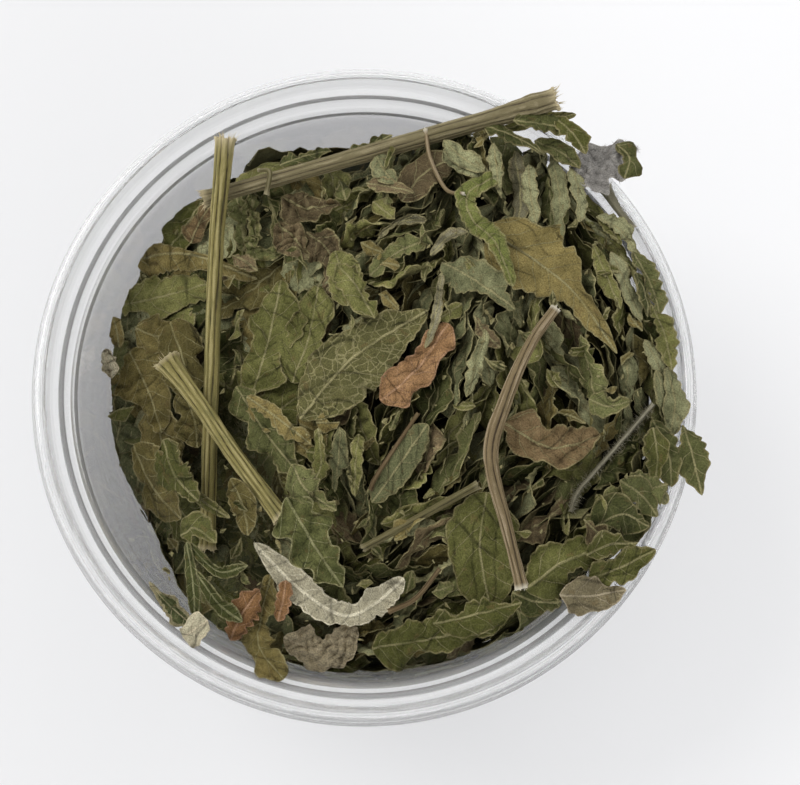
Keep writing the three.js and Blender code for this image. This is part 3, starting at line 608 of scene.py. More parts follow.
def makeTubMaterial(name, finish):
    # clear moulded plastic, faintly streaked up the wall, with a light haze
    material, n, shader = newMaterial(name)
    place = n.add("TexCoord").outputs["Object"]
    fine, wide = finish["streaks"], finish["waves"]
    streaks = n.noise(n.stretch(place, fine, fine, 14.0), 1.0, 4.0, 0.6)
    waves = n.noise(n.stretch(place, wide, wide, wide), 1.0, 3.0, 0.5)
    tall = n.parts(place)[2]
    height = n.plus(n.times(streaks, n.ramp(tall, 0.064, 0.069, (0.25, 0.0))),
                    n.times(waves, n.ramp(tall, 0.056, 0.062, (0.6, 0.0))))
    # the wall takes a grey tint and the rim the near-white plastic colour; the grey is painted shade for the
    # dim inside seen through the wall
    n.feed(shader, {"Base Color": n.mix(n.ramp(tall, 0.064, 0.0705), finish["wall"], finish["rim"]),
                    "Roughness": n.ramp(waves, 0.3, 0.7, (0.02, 0.09)),
                    "Normal": n.bump(height, finish["bump"], finish["bumpDepth"]),
                    "Transmission Weight": finish["clear"], "IOR": finish["bending"]})
    return material


materials = {name: makeLeafMaterial(name, finish) for name, finish in leafFinishes.items()}
materials.update({name: makeStemMaterial(name, finish) for name, finish in stemFinishes.items()})
materials["clearPlastic"] = makeTubMaterial("clearPlastic", tubFinish)


def addPiece(name, finish, shells, *nodes):
    # joins shells into one mesh and gives it its finish; a shell has points in mm, quads, triangles,
    # and values at its points. The piece stands for the nodes given.
    mesh = bpy.data.meshes.new(name)
    starts = np.cumsum([0] + [len(s["points"]) for s in shells])
    whole = {key: np.concatenate([s[key] + (k if key in ("quads", "triangles") else 0)
                                  for s, k in zip(shells, starts)]) for key in shells[0]}
    points, quads = whole.pop("points") * mm, whole.pop("quads")
    triangles = whole.pop("triangles", np.empty((0, 3), int))
    corners = np.concatenate([quads.ravel(), triangles.ravel()])
    sizes = np.repeat([4, 3], [len(quads), len(triangles)])
    mesh.vertices.add(len(points))
    mesh.vertices.foreach_set("co", points.ravel())
    mesh.loops.add(len(corners))
    mesh.loops.foreach_set("vertex_index", corners.astype(np.int32))
    mesh.polygons.add(len(sizes))
    mesh.polygons.foreach_set("loop_start", (np.cumsum(sizes) - sizes).astype(np.int32))
    mesh.update(calc_edges=True)
    for key, values in whole.items():
        if key == "uv":
            layer, field, values = mesh.uv_layers.new(name="leafMap"), "uv", values[corners]
        else:
            kind, field = ("FLOAT", "value") if values.ndim == 1 else ("FLOAT_VECTOR", "vector")
            layer = mesh.attributes.new(key, kind, "POINT")
        layer.data.foreach_set(field, values.astype(np.float32).ravel())
    mesh.polygons.foreach_set("use_smooth", np.ones(len(sizes), bool))
    mesh.set_sharp_from_angle(angle=math.radians(55))
    mesh.materials.append(materials[finish])
    piece = bpy.data.objects.new(name, mesh)
    scene.collection.objects.link(piece)
    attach(piece, "root")
    if nodes:
        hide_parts(*nodes)


# The tub
tubShape = {
    "segments": 256, "bendSteps": 5,
    # radius, height, and how far the bend there reaches along its two sides
    "profile": [
        (0, 0.8, 0), (42.5, 0.8, 1.2), (44.5, 3, 1.2), (50.9, 68.4, 0.5), (51.5, 69.5, 0.35),
        (52.3, 69.95, 0.35), (53, 71.5, 0.5), (54.7, 72.1, 0.5), (55.45, 74.1, 0.6), (56, 75, 0.6),
        (57.3, 75, 0.6), (57.75, 74, 0.5), (57.95, 71.6, 0.25), (58.5, 71.15, 0.2), (58.5, 70.5, 0.12),
        (57.2, 70.5, 0.12), (56.95, 73.9, 0.3), (56.35, 74.2, 0.25), (55.65, 71.6, 0.4), (53.9, 71.1, 0.4),
        (53.35, 69.4, 0.4), (52.25, 68.9, 0.3), (51.8, 68.1, 0.3), (45.3, 2.6, 1.2), (43.3, 0, 1.2),
        (0, 0, 0),
    ],
}


def roundedProfile(corners, steps):
    # each corner becomes a short parabola between the points where its bend starts and ends
    t = np.linspace(0, 1, steps + 1)[:, None]
    points = [np.array(corners[:1], float)[:, :2]]
    for before, here, after in zip(corners, corners[1:], corners[2:]):
        p, q, r = (np.array(c[:2], float) for c in (before, here, after))
        start = q + (p - q) / np.linalg.norm(p - q) * here[2]
        end = q + (r - q) / np.linalg.norm(r - q) * here[2]
        points.append((1 - t) ** 2 * start + 2 * t * (1 - t) * q + t**2 * end)
    points.append(np.array(corners[-1:], float)[:, :2])
    return np.concatenate(points)


def revolve(profile, segments):
    # the profile turned round the axis; its first and last points are the poles
    rings = profile[1:-1]
    angle = np.linspace(0, 2 * np.pi, segments, endpoint=False)
    x, y = rings[:, :1] * np.cos(angle), rings[:, :1] * np.sin(angle)
    points = np.stack([x, y, np.broadcast_to(rings[:, 1:], x.shape)], -1).reshape(-1, 3)
    faces = ringFaces(len(rings), segments)
    return {"points": np.concatenate([points, [[0, 0, profile[0, 1]], [0, 0, profile[-1, 1]]]]),
            "quads": np.roll(faces["quads"][:, ::-1], 1, axis=1),
            "triangles": np.roll(faces["triangles"][:, ::-1], 1, axis=1)}


tubProfile = roundedProfile(tubShape["profile"], tubShape["bendSteps"])
addPiece("clearTub", "clearPlastic", [revolve(tubProfile, tubShape["segments"])], "tub")
print("tub ready")


# Stems
stemBasics = {"ridges": 7, "groove": 0.2, "sides": 42, "ring": 0.45, "fray": 0.35, "splinters": 10,
              "hairs": 0, "paleStart": 0, "paleEnd": 0, "pith": 1, "splinterWidth": 0.09, "hairWidth": 0.035}


def needles(roots, tips, width):
    # slim three-sided spikes from each root to its tip
    side = unit(np.cross(tips - roots, [0.31, 0.52, 0.79]))
    other = unit(np.cross(tips - roots, side))
    turns = [2 * np.pi * k / 3 for k in range(3)]
    feet = [roots + width * (side * math.cos(a) + other * math.sin(a)) for a in turns]
    start = 4 * np.arange(len(roots))[:, None, None]
    faces = start + np.array([[0, 1, 3], [1, 2, 3], [2, 0, 3], [0, 2, 1]])
    return np.stack([*feet, tips], 1).reshape(-1, 3), faces.reshape(-1, 3)


def stemShell(stem, seed):
    # A ridged rod along its path: the radius follows its stations, ridges stand round it, and both
    # ends break off unevenly round a pale pith, with a few splinters.
    stem = {**stemBasics, **stem}
    sides, path = stem["sides"], np.array(stem["path"], float)
    length = pathLength(path, 60)
    rings = int(length / stem["ring"])
    u = np.linspace(0, 1, rings + 1)
    centre = splineThrough(path, u)
    tangent = unit(np.gradient(centre, axis=0))
    sideways = unit(np.stack([-tangent[:, 1], tangent[:, 0], 0 * u], 1))
    upward = np.cross(tangent, sideways)
    angle = np.linspace(0, 2 * np.pi, sides, endpoint=False)[None, :]
    arc = (u * length)[:, None]
    twist = angle + 0.25 * np.sin(arc / 17 + seed) + 0.16 * np.sin(2 * angle + seed)
    twist = twist + 0.1 * np.sin(3 * angle + 2 * seed) + 0.05 * np.sin(arc / 3 + 5 * angle)
    uneven = 1 + 0.5 * (softNoise(np.cos(twist) * 2 + 9, np.sin(twist) * 2 + arc / 40, seed) - 0.5)
    ridge = np.abs(np.cos(stem["ridges"] * twist / 2)) ** 0.6 * uneven
    ridge = ridge * (0.8 + 0.4 * softNoise(arc / 2.5, twist * 5, seed + 4))
    radius = np.interp(u, np.linspace(0, 1, len(stem["radius"])), stem["radius"])[:, None]
    knobs = 0.05 * (softNoise(arc / 4, twist, seed + 1) - 0.5)
    knobs = knobs + 0.03 * (softNoise(arc / 0.8, twist * 4, seed) - 0.5)
    reach = radius * (1 + stem["groove"] * (ridge - 0.75) + knobs)
    flare = np.exp(-np.minimum(arc, length - arc) / 0.8) * (1 + 2 * softNoise(angle * 3, seed, seed))
    reach = reach * (1 + 0.12 * flare)
    jag = stem["fray"] * (scatter(np.arange(sides) * 3.7 + seed) - 0.4)
    slide = (np.exp(-(length - arc) / 0.5) - np.exp(-arc / 0.5)) * jag
    spot = centre[:, None] + reach[..., None] * (
        sideways[:, None] * np.cos(angle)[..., None] + upward[:, None] * np.sin(angle)[..., None])
    spot = spot + slide[..., None] * tangent[:, None]
    rims = []
    for end, way in ((0, -1), (rings, 1)):
        for share, depth in ((0.8, 0.05), (0.45, 0.3)):
            sunk = centre[end] + (spot[end] - centre[end]) * share
            sunk = sunk - way * depth * radius[end] * tangent[end] * 0.5
            broken = 0.15 * radius[end] * (scatter(np.arange(sides) * 1.9 + share) - 0.5)[:, None]
            rims.append(sunk + broken * tangent[end])
    grid = np.concatenate([[rims[1], rims[0]], spot, [rims[2], rims[3]]])
    cut = np.zeros(grid.shape[:2])
    for rows, paleness in (([0, 1, -2, -1], 1), ([2, -3], 0.8), ([3, -4], 0.35)):
        cut[rows] = paleness * stem["pith"]
    along = np.pad(u * length, 2, mode="edge")[:, None] + 0 * cut
    paleEnds = stem["paleStart"] * np.exp(-along / 1.4) + stem["paleEnd"] * np.exp((along - length) / 1.4)
    cut = np.maximum(cut, paleEnds * (0.5 + scatter(np.arange(sides))))
    place = np.stack(np.broadcast_arrays(along, np.cos(angle), np.sin(angle)), -1).reshape(-1, 3)
    ridge = np.pad(ridge, ((2, 2), (0, 0)), constant_values=0.6)
    faces = ringFaces(*grid.shape[:2])
    shell = {"points": np.concatenate([grid.reshape(-1, 3), [grid[0].mean(0), grid[-1].mean(0)]]),
             "ridge": np.append(ridge, [0.6, 0.6]), "cut": np.append(cut, [stem["pith"]] * 2),
             "stemPlace": np.concatenate([place, [[0, 0, 0], [length, 0, 0]]])}
    draw = np.random.default_rng(seed)
    tufts = []
    if stem["splinters"]:
        which = draw.integers(0, sides, 2 * stem["splinters"])
        end = np.repeat([0, rings], stem["splinters"])
        way = np.where(end == 0, -1, 1)[:, None]
        out = spot[end, which] - centre[end]
        roots = centre[end] + out * draw.uniform(0.5, 0.95, len(end))[:, None]
        outward = out * draw.uniform(0.0, 0.6, len(end))[:, None]
        far = draw.uniform(0.3, 1.1, len(end))[:, None]
        tips = roots + way * tangent[end] * far * radius[end] * 0.8 + outward
        tufts.append((roots, tips, stem["splinterWidth"], 1.0))
    if stem["hairs"]:
        i, k = draw.integers(2, rings - 1, stem["hairs"]), draw.integers(0, sides, stem["hairs"])
        out = spot[i, k] - centre[i]
        tips = spot[i, k] + out * draw.uniform(0.5, 2.4, len(i))[:, None] + draw.normal(0, 0.35, (len(i), 3))
        tufts.append((spot[i, k] - 0.1 * out, tips, stem["hairWidth"], 0.5))
    triangles = [faces["triangles"]]
    for roots, tips, width, paleness in tufts:
        extra, spikes = needles(roots, tips, width)
        triangles.append(spikes + len(shell["points"]))
        values = {"points": extra, "ridge": np.full(len(extra), 0.8), "cut": np.full(len(extra), paleness),
                  "stemPlace": extra * 0.7}
        shell = {key: np.concatenate([shell[key], values[key]]) for key in shell}
    return {**shell, "quads": faces["quads"], "triangles": np.concatenate(triangles)}


stems = {
    "stem_long": dict(finish="dullStem", radius=[1.3, 1.35, 1.35, 1.45, 1.5, 1.5, 1.7, 2.1, 1.7],
        path=[[-28.5, 34, 73], [-1, 41, 76], [22, 47, 78.5], [33.6, 50.2, 80]], ridges=11, sides=66,
        groove=0.16, fray=0.8, splinters=22, paleEnd=0.8),
    "stem_upright": dict(finish="oliveStem", radius=[1.6, 1.3, 1.3, 1.3, 1.3],
        path=[[-24.2, 43.2, 78.5], [-26, 24, 74], [-27, -2, 69], [-27.6, -27.5, 64.5]], ridges=8, sides=56,
        groove=0.24, fray=0.6, splinters=18, paleStart=1),
    "stem_splayed": dict(finish="oliveStem", radius=[2, 1.5, 1.4, 1.4, 1.4, 1.4], path=[[-34.6, 5, 71.5],
        [-28.5, -3, 72.3], [-22.3, -12, 73.2], [-14, -23, 74.5]], ridges=9, sides=60, groove=0.22),
    "stem_petiole": dict(finish="darkStem", radius=[0.45, 0.4, 0.4, 0.35], ridges=4, sides=16,
        path=[[4.4, -39, 74], [9, -36.8, 75.4], [13, -32, 78]], splinters=0, pith=0.15),
    "stem_grey_stalk": dict(finish="greyStem", radius=[1, 0.6, 0.6], ridges=4, sides=16,
        path=[[42.5, 35.5, 80], [45, 31.5, 79.5], [47.5, 28.5, 79]], splinters=3, hairs=60),
    "stem_thin_green": dict(finish="mossStem", radius=[0.6, 0.7, 0.7], ridges=5, sides=24,
        path=[[0, -28.5, 79], [8.5, -24, 80.5], [19.5, -18, 82]], splinters=3, pith=0.4),
    "stem_bent": dict(finish="brownStem", radius=[0.75, 0.9, 1, 1.15, 1.3, 1.15, 1.05, 0.95, 1], ridges=9,
        sides=56, groove=0.24, path=[[32.7, 11.6, 85], [28.3, 5.2, 85.5], [24, -4.5, 85], [21.6, -13.6, 84],
        [24.3, -25, 81], [27, -35.2, 78]]),
    "stem_fuzzy": dict(finish="greyStem", radius=[0.4, 0.4, 0.4, 0.3], ridges=4, sides=16, pith=0.3,
        splinters=0, path=[[50, -3.5, 83], [43.5, -11, 83.5], [37, -18.5, 83], [35.6, -22, 82]], hairs=700),
}


def seatAtNode(points, node):
    # how far up a piece moves for the middle of its height to be that of its node
    low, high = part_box(node)
    middle = 0.5 * (points[..., 2].min() + points[..., 2].max())
    return 0.5 * (low.z + high.z) / mm - middle


solidPlaces = []
for number, (node, stem) in enumerate(stems.items()):
    shell = stemShell(stem, 31 + number)
    shell["points"][:, 2] += seatAtNode(shell["points"], node)
    shell["points"][:, 2] += min(0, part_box(node)[1].z / mm - shell["points"][:, 2].max())
    solidPlaces.append(shell["points"])
    addPiece(node.title().replace("_", ""), stem["finish"], [shell], node)
print("stems ready")


# Named leaves: finish, then one blade, or several where the leaf is torn
namedLeaves = {
    "leaf_far_left": ["brownOliveLeaf", *torn(
        blade([[-38.5, -1], [-37, -9], [-35, -15]], [2.8, 4.4, 4.6, 3.8, 2], height=-0.6),
        blade([[-43.5, 10], [-40, 3], [-37, -5.5]], [3, 4.6, 4.6, 3.8, 2]),
        blade([[-42, 13.5], [-37.5, 11.5], [-33, 12]], [2, 3, 3.2, 2.6, 1.2], height=0.6),
        wave=0.05, crinkle=1, wrinkle=3, tone=0.4, ragged=0.5)],
    "leaf_left_inner": ["brownOliveLeaf", *torn(
        blade([[-33, 2], [-30.5, -4], [-30, -9]], [2, 3.4, 3.6, 3, 1.4], height=-0.6),
        blade([[-35, 13.5], [-32.3, 6], [-31, -1]], [2.4, 4, 4.2, 3.6, 1.8]),
        wave=0.05, crinkle=0.9, wrinkle=2.8, tone=0.2, ragged=0.45)],
    "leaf_left_low": ["oliveLeaf", blade([[-36, -16], [-33, -20.5], [-29, -26]], [2, 3.6, 4, 3.4, 1.8],
        wave=0.04, crinkle=0.9, tone=0.2)],
    "leaf_tan_knob": ["creamLeaf", blade([[-47.4, 9.8, 1], [-47, 7.2, 1], [-46.2, 4.4, 1]],
        [1.2, 2.4, 1.6, 2.2, 1], [1, 1.8, 2.4, 1.4, 1.2], wave=0.2, crinkle=1.4, wrinkle=1.6, edgeLift=0.5,
        ragged=0.8, tone=1)],
    "leaf_olive_flat": ["oliveLeaf", blade([[-45.5, 19], [-37, 19.2], [-28.5, 20.6]],
        [2.4, 3.4, 3.2, 3.4, 2.6, 2.2], [2.4, 4, 3.6, 4.4, 3.8, 2.4], wave=0.05, tooth=0.12, taper=0.3,
        toothGap=2, crinkle=0.6, tone=0.65, ragged=0.5)],
    "leaf_folded_left": ["brownOliveLeaf", blade([[-42.5, 26.5], [-32, 26], [-19, 20]],
        [1.6, 2.2, 1.2, 0.8, 0.6, 0.5], [2.4, 3.4, 3, 2.2, 1.6, 0.8], fold=-0.35, wave=0.04, tone=0.6,
        rib=0.5)],
    "leaf_rust": ["rustLeaf", blade([[-31.5, 28], [-30, 31.5], [-27.5, 35.5]], [1.6, 2.2, 2.2, 1.8, 1],
        curl=0.15, wave=0.05)],
    "leaf_top_left": ["oliveLeaf", blade([[-23, 37], [-18.5, 39.5], [-11.5, 40.5]], [2, 2.8, 2.6, 2, 0.8],
        curl=-0.2, tone=0.6)],
    "leaf_back_left": ["darkGreenLeaf", blade([[-15, 40], [-10.5, 42], [-6, 43]], [1.2, 2, 2, 1.6, 0.6],
        tooth=0.14, ragged=0.6, tone=0.3)],
    "leaf_back_middle": ["darkGreenLeaf", blade([[-3.5, 41], [0.5, 43.5], [5, 45]],
        [1.4, 2.2, 2.2, 1.8, 0.6], tooth=0.14, ragged=0.6, tone=0.2)],
    "leaf_crinkled": ["darkGreenLeaf", *torn(
        blade([[-23, 36], [-22, 30.5], [-21.5, 25]], [0.8, 1.5, 1.4, 1.5, 0.8], roll=30, height=-0.5),
        blade([[-20.5, 36.5], [-19.4, 31], [-19, 26]], [0.8, 1.5, 1.7, 1.3, 0.8], roll=-34),
        blade([[-17.8, 36], [-16.4, 31.5], [-15.4, 27]], [0.8, 1.5, 1.6, 1.4, 0.8], roll=32, tone=0.3),
        blade([[-21.5, 27], [-18.5, 24.6], [-14.5, 23.6]], [0.8, 1.6, 1.8, 1.4, 0.8], roll=26, height=0.5),
        wave=0.45, crinkle=1.2, wrinkle=1.7, tone=0.7, ragged=0.7, ruffle=1.8)],
    "leaf_top_strip": ["oliveLeaf", blade([[24, 45.5], [31, 48], [37.5, 48.5, 1]], [0.8, 1.5, 1.6, 1.4, 0.6],
        roll=15, tone=0.5)],
    "leaf_fuzzy_brown": ["brownLeaf", *torn(
        blade([[-10, 27], [-6.5, 24], [-4.4, 20]], [1.2, 2.8, 3, 2.4, 0.8], tone=0.2, height=-0.6),
        blade([[-15.4, 29], [-12.4, 26.4], [-9.6, 22]], [1.6, 3, 3.2, 2.6, 1.2], tone=0.5),
        blade([[-14.4, 34], [-10, 31.6], [-4.4, 32.4]], [1.4, 2.8, 3, 2.4, 1], tone=0.1, height=0.3),
        wave=0.2, crinkle=1.4, wrinkle=2.2, ragged=0.7, rib=0.3)],
    "leaf_green_broad": ["oliveLeaf", *torn(
        blade([[-18.5, -6], [-13.5, -2.5], [-7.5, 0.5]], [2, 3.8, 4, 3.2, 1.4], height=-1, tone=0.3),
        blade([[-20, -1], [-17, 8], [-14.6, 19.5]], [2.2, 3.6, 3.4, 4, 2.6], [3, 5, 5.2, 5.2, 2.6],
            rib=0.25),
        blade([[-12.5, 1], [-9.6, 9], [-8, 18]], [2.6, 4.4, 4.8, 4.6, 2], height=0.4, tone=0.5),
        blade([[-9, -1.5], [-6.5, 3.5], [-5, 8]], [1, 2.6, 2.8, 2.2, 1], height=-0.3, tone=0.6),
        wave=0.06, crinkle=0.6, wrinkle=3.2, tone=0.4, ragged=0.4, tooth=0.1, toothGap=2.6)],
    "leaf_green_upper": ["oliveLeaf", blade([[-2.5, 13], [-3.5, 18.5], [-5, 23]], [1.5, 2.6, 2.8, 2.4, 1],
        wave=0.06, tone=0.6)],
    "leaf_brown_strip": ["brownOliveLeaf", blade([[-21.5, -1.5], [-14.5, -7.5], [-8, -12.5]],
        [0.8, 1.8, 2, 1.6, 0.8], curl=0.2, tone=0.7)],
    "leaf_dark_veined": ["darkGreenLeaf", blade([[-22.5, 0.5], [-17, -8], [-11, -15.5]],
        [1.2, 2.4, 3.6, 2.2, 3.4, 1.6, 0.8], [1.2, 3.4, 2.2, 3.8, 2.4, 2.6, 0.8], tooth=0.08, wave=0.1,
        crinkle=0.7, tone=0.5)],
    "leaf_net_veined": ["netVeinedLeaf", blade([[-11, -6], [-2, 4], [11, 12]],
        [1.5, 4.2, 5.2, 5, 4.6, 3.4, 1.2], [2.4, 5.6, 7, 6.6, 5, 3.4, 1.6], curl=-0.08, wave=0.05,
        crinkle=0.35, tooth=0.05, ragged=0.25, rib=0.5, tone=0.4)],
    "leaf_pale_strip": ["greyGreenLeaf", blade([[1.5, -20.5], [6, -14.5], [11, -7.5]],
        [1, 2.4, 2.6, 2.4, 1.4], curl=-0.15, crinkle=0.25, ragged=0.2, tone=0.1)],
    "leaf_tan": ["tanLeaf", blade([[3, -3.5], [9, 1.6], [14.6, 9.6]], [1.6, 2.8, 3.2, 2.6, 3.2, 2.8],
        [2.2, 4.6, 3.4, 5, 3.2, 3.8, 2.6], curl=0.08, tooth=0.05, crinkle=0.6, wrinkle=2.4, tone=0.6,
        rib=0.3)],
    "leaf_brown_top": ["brownLeaf", blade([[6.5, 32], [10.5, 37], [16, 40]], [1.6, 3, 3.2, 3, 1.2], wave=0.2,
        tone=0.3)],
    "leaf_pale_top": ["greyGreenLeaf", blade([[14, 41.5], [17.5, 38.5], [22, 36]], [1.2, 2, 2, 1.8, 0.8],
        curl=0.2, tone=0.7)],
    "leaf_strip_left": ["greyStrip", blade([[26.5, 42], [27.5, 33], [26.5, 24]], [0.8, 1.7, 1.8, 1.6, 0.5],
        roll=35, rib=0.5, tone=0.3)],
    "leaf_strip_right": ["greyGreenLeaf", blade([[33, 42], [34, 32], [33.5, 23]], [0.8, 2, 2, 1.6, 0.6],
        roll=40, tone=0.5)],
    "leaf_yellow_curved": ["limeLeaf", blade([[23.4, 35.8], [18, 32.4], [18.8, 27.5], [22.6, 23.4],
        [25.6, 15.5]], [1.3, 2.1, 1.9, 1.9, 2, 1.5, 0.8], fold=0.2, tone=0.6, ragged=0.3)],
    "leaf_olive_broad": ["brownOliveLeaf", blade([[21, 26.6], [29.5, 20.6], [36.5, 14.5], [43.3, 4.4]],
        [3, 4.6, 5.4, 7.6, 5.2, 3, 2, 1.6, 0.6], [2.4, 5.6, 7.4, 6.4, 4.8, 3.4, 2.4, 1.6, 0.6], wave=0.04,
        tooth=0.08, toothGap=2.6, crinkle=0.5, wrinkle=4.2, ragged=0.3, rib=0.3, edgeLift=0.15, tone=0.7)],
    "leaf_brown_right": ["russetLeaf", blade([[24, -7.5], [32, -11.5], [40.5, -9.5]],
        [2.4, 3.6, 2.6, 3.2, 2.4, 1.4], [2, 3.4, 4, 3.6, 2.6, 1.2], curl=0.15, crinkle=0.9, wrinkle=2.8,
        rib=0.3, tone=0.4)],
    "leaf_right_strip": ["greyGreenLeaf", blade([[43, 23], [45.5, 17], [48, 10.5]],
        [0.8, 1.7, 1.8, 1.6, 0.8], roll=-25, tone=0.8)],
    "leaf_right_edge": ["darkGreenLeaf", blade([[51, 4], [52, -3], [51, -11]], [1, 2.2, 2.4, 2, 0.8],
        roll=-15, tone=0.7)],
    "leaf_green_three_sided": ["darkGreenLeaf", blade([[38.5, -3.4], [42, -4.6], [46, -3.4]],
        [1.6, 2.6, 2.4, 1.6, 0.5], wave=0.05, crinkle=0.3, tone=0.9)],
    "leaf_overhanging": ["darkGreenLeaf", blade([[55.3, -7], [57, -12.5], [58.4, -19]],
        [0.4, 1.8, 2.8, 3, 1.4, 0.5], [0.6, 1.6, 3.8, 3.4, 1.8, 0.5], tooth=0.12, wave=0.04, crinkle=0.4,
        curl=-0.04, edgeLift=0.1, tone=0.45)],
    "leaf_tongue": ["greyGreenLeaf", blade([[48, -16], [50.5, -18.5], [52.5, -20.5]],
        [1, 1.4, 1.5, 1.2, 0.6], curl=0.4, tone=0.4)],
    "leaf_serrated": ["darkGreenLeaf", blade([[41.5, -28.5], [45.5, -25], [49, -21]],
        [1.6, 3, 3.2, 2.6, 1.2], tooth=0.12, ragged=0.6, tone=0.2)],
    "leaf_smooth": ["oliveLeaf", blade([[21, -19], [20, -28.5], [22, -39]], [3, 5.6, 5.8, 5, 3], wave=0.05,
        crinkle=0.3, wrinkle=4, toothGap=3.2, tone=0.35)],
    "leaf_toothed_low": ["darkGreenLeaf", blade([[25.5, -36], [29.5, -37.4], [34, -37.4]],
        [1.4, 2.4, 2.6, 2.2, 1], wave=0.02, tooth=0.12, ragged=0.6, tone=0.3)],
    "leaf_folded_low": ["oliveLeaf", blade([[27.5, -35.5], [34, -31], [41, -28.5]],
        [1.6, 3.2, 3.8, 3, 2.6, 1.2], [2, 3.8, 3.4, 4, 2.6, 1.4], fold=-0.35, wave=0.05, crinkle=0.5,
        ragged=0.5, rib=0.6, tone=0.3)],
    "leaf_grey_round": ["drabLeaf", blade([[33.5, -36.5], [39, -36.4], [45, -35.4]], [1.6, 2.6, 3, 2.2, 1.4],
        [1.8, 3, 2.6, 2.8, 1.6], curl=0.1, wave=0.05, crinkle=0.6, ragged=0.6, tone=0)],
    "leaf_tip_low": ["oliveLeaf", blade([[38.5, -33.5], [44, -31.6], [50, -28.6]], [2, 2.8, 2, 2.6, 0.6],
        [2, 3, 2.6, 1.6, 0.6], wave=0.05, crinkle=0.4, ragged=0.6, tone=0.3)],
    "leaf_bottom": ["oliveLeaf", blade([[1.5, -45], [11.5, -43.5], [23.5, -41]], [2, 3.4, 4, 3.6, 3.4, 1.6],
        [2.4, 4.4, 3, 3.6, 2.6, 1.6], roll=10, wave=0.08, crinkle=0.8, tone=0.2)],
    "leaf_pale_crumpled": ["drabLeaf", blade([[-14, -43], [-7.5, -45], [-1, -41.5]], [2, 3, 3.2, 2.8, 1.4],
        wave=0.25, crinkle=1.3, wrinkle=2, tone=0.85, ragged=0.7)],
    "leaf_long_tip": ["brownOliveLeaf", blade([[-16, -32.5], [-18, -40], [-18, -45, 4], [-13.6, -50.4, 11]],
        [1.6, 2, 2.4, 2.6, 3.8, 3.2, 2], [1.6, 2.2, 2, 3.4, 3.4, 4, 2.4], curl=0.1, crinkle=0.6, ragged=0.55,
        taper=0.4, tone=0.5)],
    "leaf_silver_folded": ["silverLeaf", blade([[-19, -27], [-11, -35], [-3.5, -39.5], [2, -37.5],
        [7, -33.5]], [0.9, 2.4, 2.8, 2.7, 2.8, 2.4, 1], fold=0.4, tooth=0.05, ragged=0.3, crinkle=0.35,
        rib=0.5, tone=0.4, edgeLift=0.2)],
    "leaf_centre": ["ribbedLeaf", blade([[-13, -20], [-8, -28.5], [-3.5, -35]],
        [1.6, 4.2, 3, 5.2, 4.6, 3, 4.2, 2.8, 1.8, 0.8], [1.6, 3.4, 5.4, 3.4, 5.6, 4.8, 2.6, 3.6, 1.8, 0.8],
        fold=0.14, wave=0.3, crinkle=0.8, wrinkle=2.6, rib=0.5, ruffle=2, ragged=0.35, tone=0.35)],
    "leaf_red": ["tanLeaf", blade([[-23.4, -43.5], [-21, -39], [-18, -35]], [1, 2, 2.4, 2, 0.8], tooth=0.2,
        tone=0)],
    "leaf_pale_edged": ["paleEdgedLeaf", blade([[-37.5, -33.5, 14], [-34.5, -37, 8], [-30.5, -40.5, 4]],
        [0.4, 1.4, 2.4, 2.4, 1.8], roll=-12, crinkle=0.2, tone=0.2)],
    "leaf_cream": ["creamLeaf", blade([[-31, -43.4, 16], [-29.3, -42.3, 16], [-26.6, -40.6, 16]],
        [2.2, 2.4, 2.4, 2.5, 2.1], [2.3, 2.5, 2.7, 2.4, 2.2], curl=0.1, crinkle=0.8, ragged=0.3, taper=0.2,
        wrinkle=5, tone=0.7)],
    "leaf_slender": ["oliveLeaf", blade([[-32, -16, 4], [-27.5, -20, 2], [-23, -23]],
        [0.4, 1, 1.1, 0.9, 0.3], fold=0.3, crinkle=0.15, tone=0.4)],
    "leaf_silver_furry": ["furryLeaf", blade([[36.8, 36.2], [41.5, 39.6], [48, 42.4, 1.5]],
        [2.4, 4.6, 4, 5, 2.6, 3, 1.4], [2.4, 4, 5, 3, 4.4, 2.6, 1.2], wave=0.16, fold=-0.12, crinkle=0.9,
        wrinkle=2.2, ragged=0.35, tone=0.4)],
}
fineStep = 0.31
rimLeaves = ("leaf_overhanging", "leaf_silver_furry", "leaf_grey_round", "leaf_tip_low", "leaf_top_strip",
             "leaf_tongue", "leaf_long_tip", "leaf_pale_edged", "leaf_cream")


def placeNamed(node, finish, sheets):
    # moves a leaf's sheets to its node's height, settles them, and closes them into one piece
    shift = seatAtNode(np.concatenate([sheet["place"].reshape(-1, 3) for sheet in sheets]), node)
    for sheet in sheets:
        sheet["place"][..., 2] += shift
    settle = overRim if node in rimLeaves else insideTub
    shells = [closeSheet(settle(sheet)) for sheet in sheets]
    solidPlaces.extend(shell["points"] for shell in shells)
    name = node.title().replace("_", "")
    addPiece(name[0].lower() + name[1:], finish, shells, node)


for number, (node, (finish, *blades)) in enumerate(namedLeaves.items()):
    sheets = [leafSheet(leaf, fineStep, number + 1 + 60 * k) for k, leaf in enumerate(blades)]
    placeNamed(node, finish, sheets)
lobes = torn(*(blade(path, [0.8, 1.6, 1.7, 1.4, 0.4]) for path in (
    [[-30.5, -27, 14], [-29.5, -34, 7], [-29.5, -40.5, 2]],
    [[-30.5, -27, 14], [-25, -32, 4], [-20, -31, 0]],
    [[-29, -32, 9], [-25, -37.5, 2], [-21, -40.5, 0]])),
    tooth=0.05, fold=0.4, ragged=0.25, crinkle=0.3, edgeLift=0.05, rib=0.35, tone=0.15)
sheets = [leafSheet(leaf, fineStep, 71 + k) for k, leaf in enumerate(lobes)]
placeNamed("sprig_lower_left", "ribbedLeaf", sheets)
print("named leaves ready")


# Height maps over the heap
mapHalf, mapStep = 62, 0.5
mapCells = int(2 * mapHalf / mapStep)


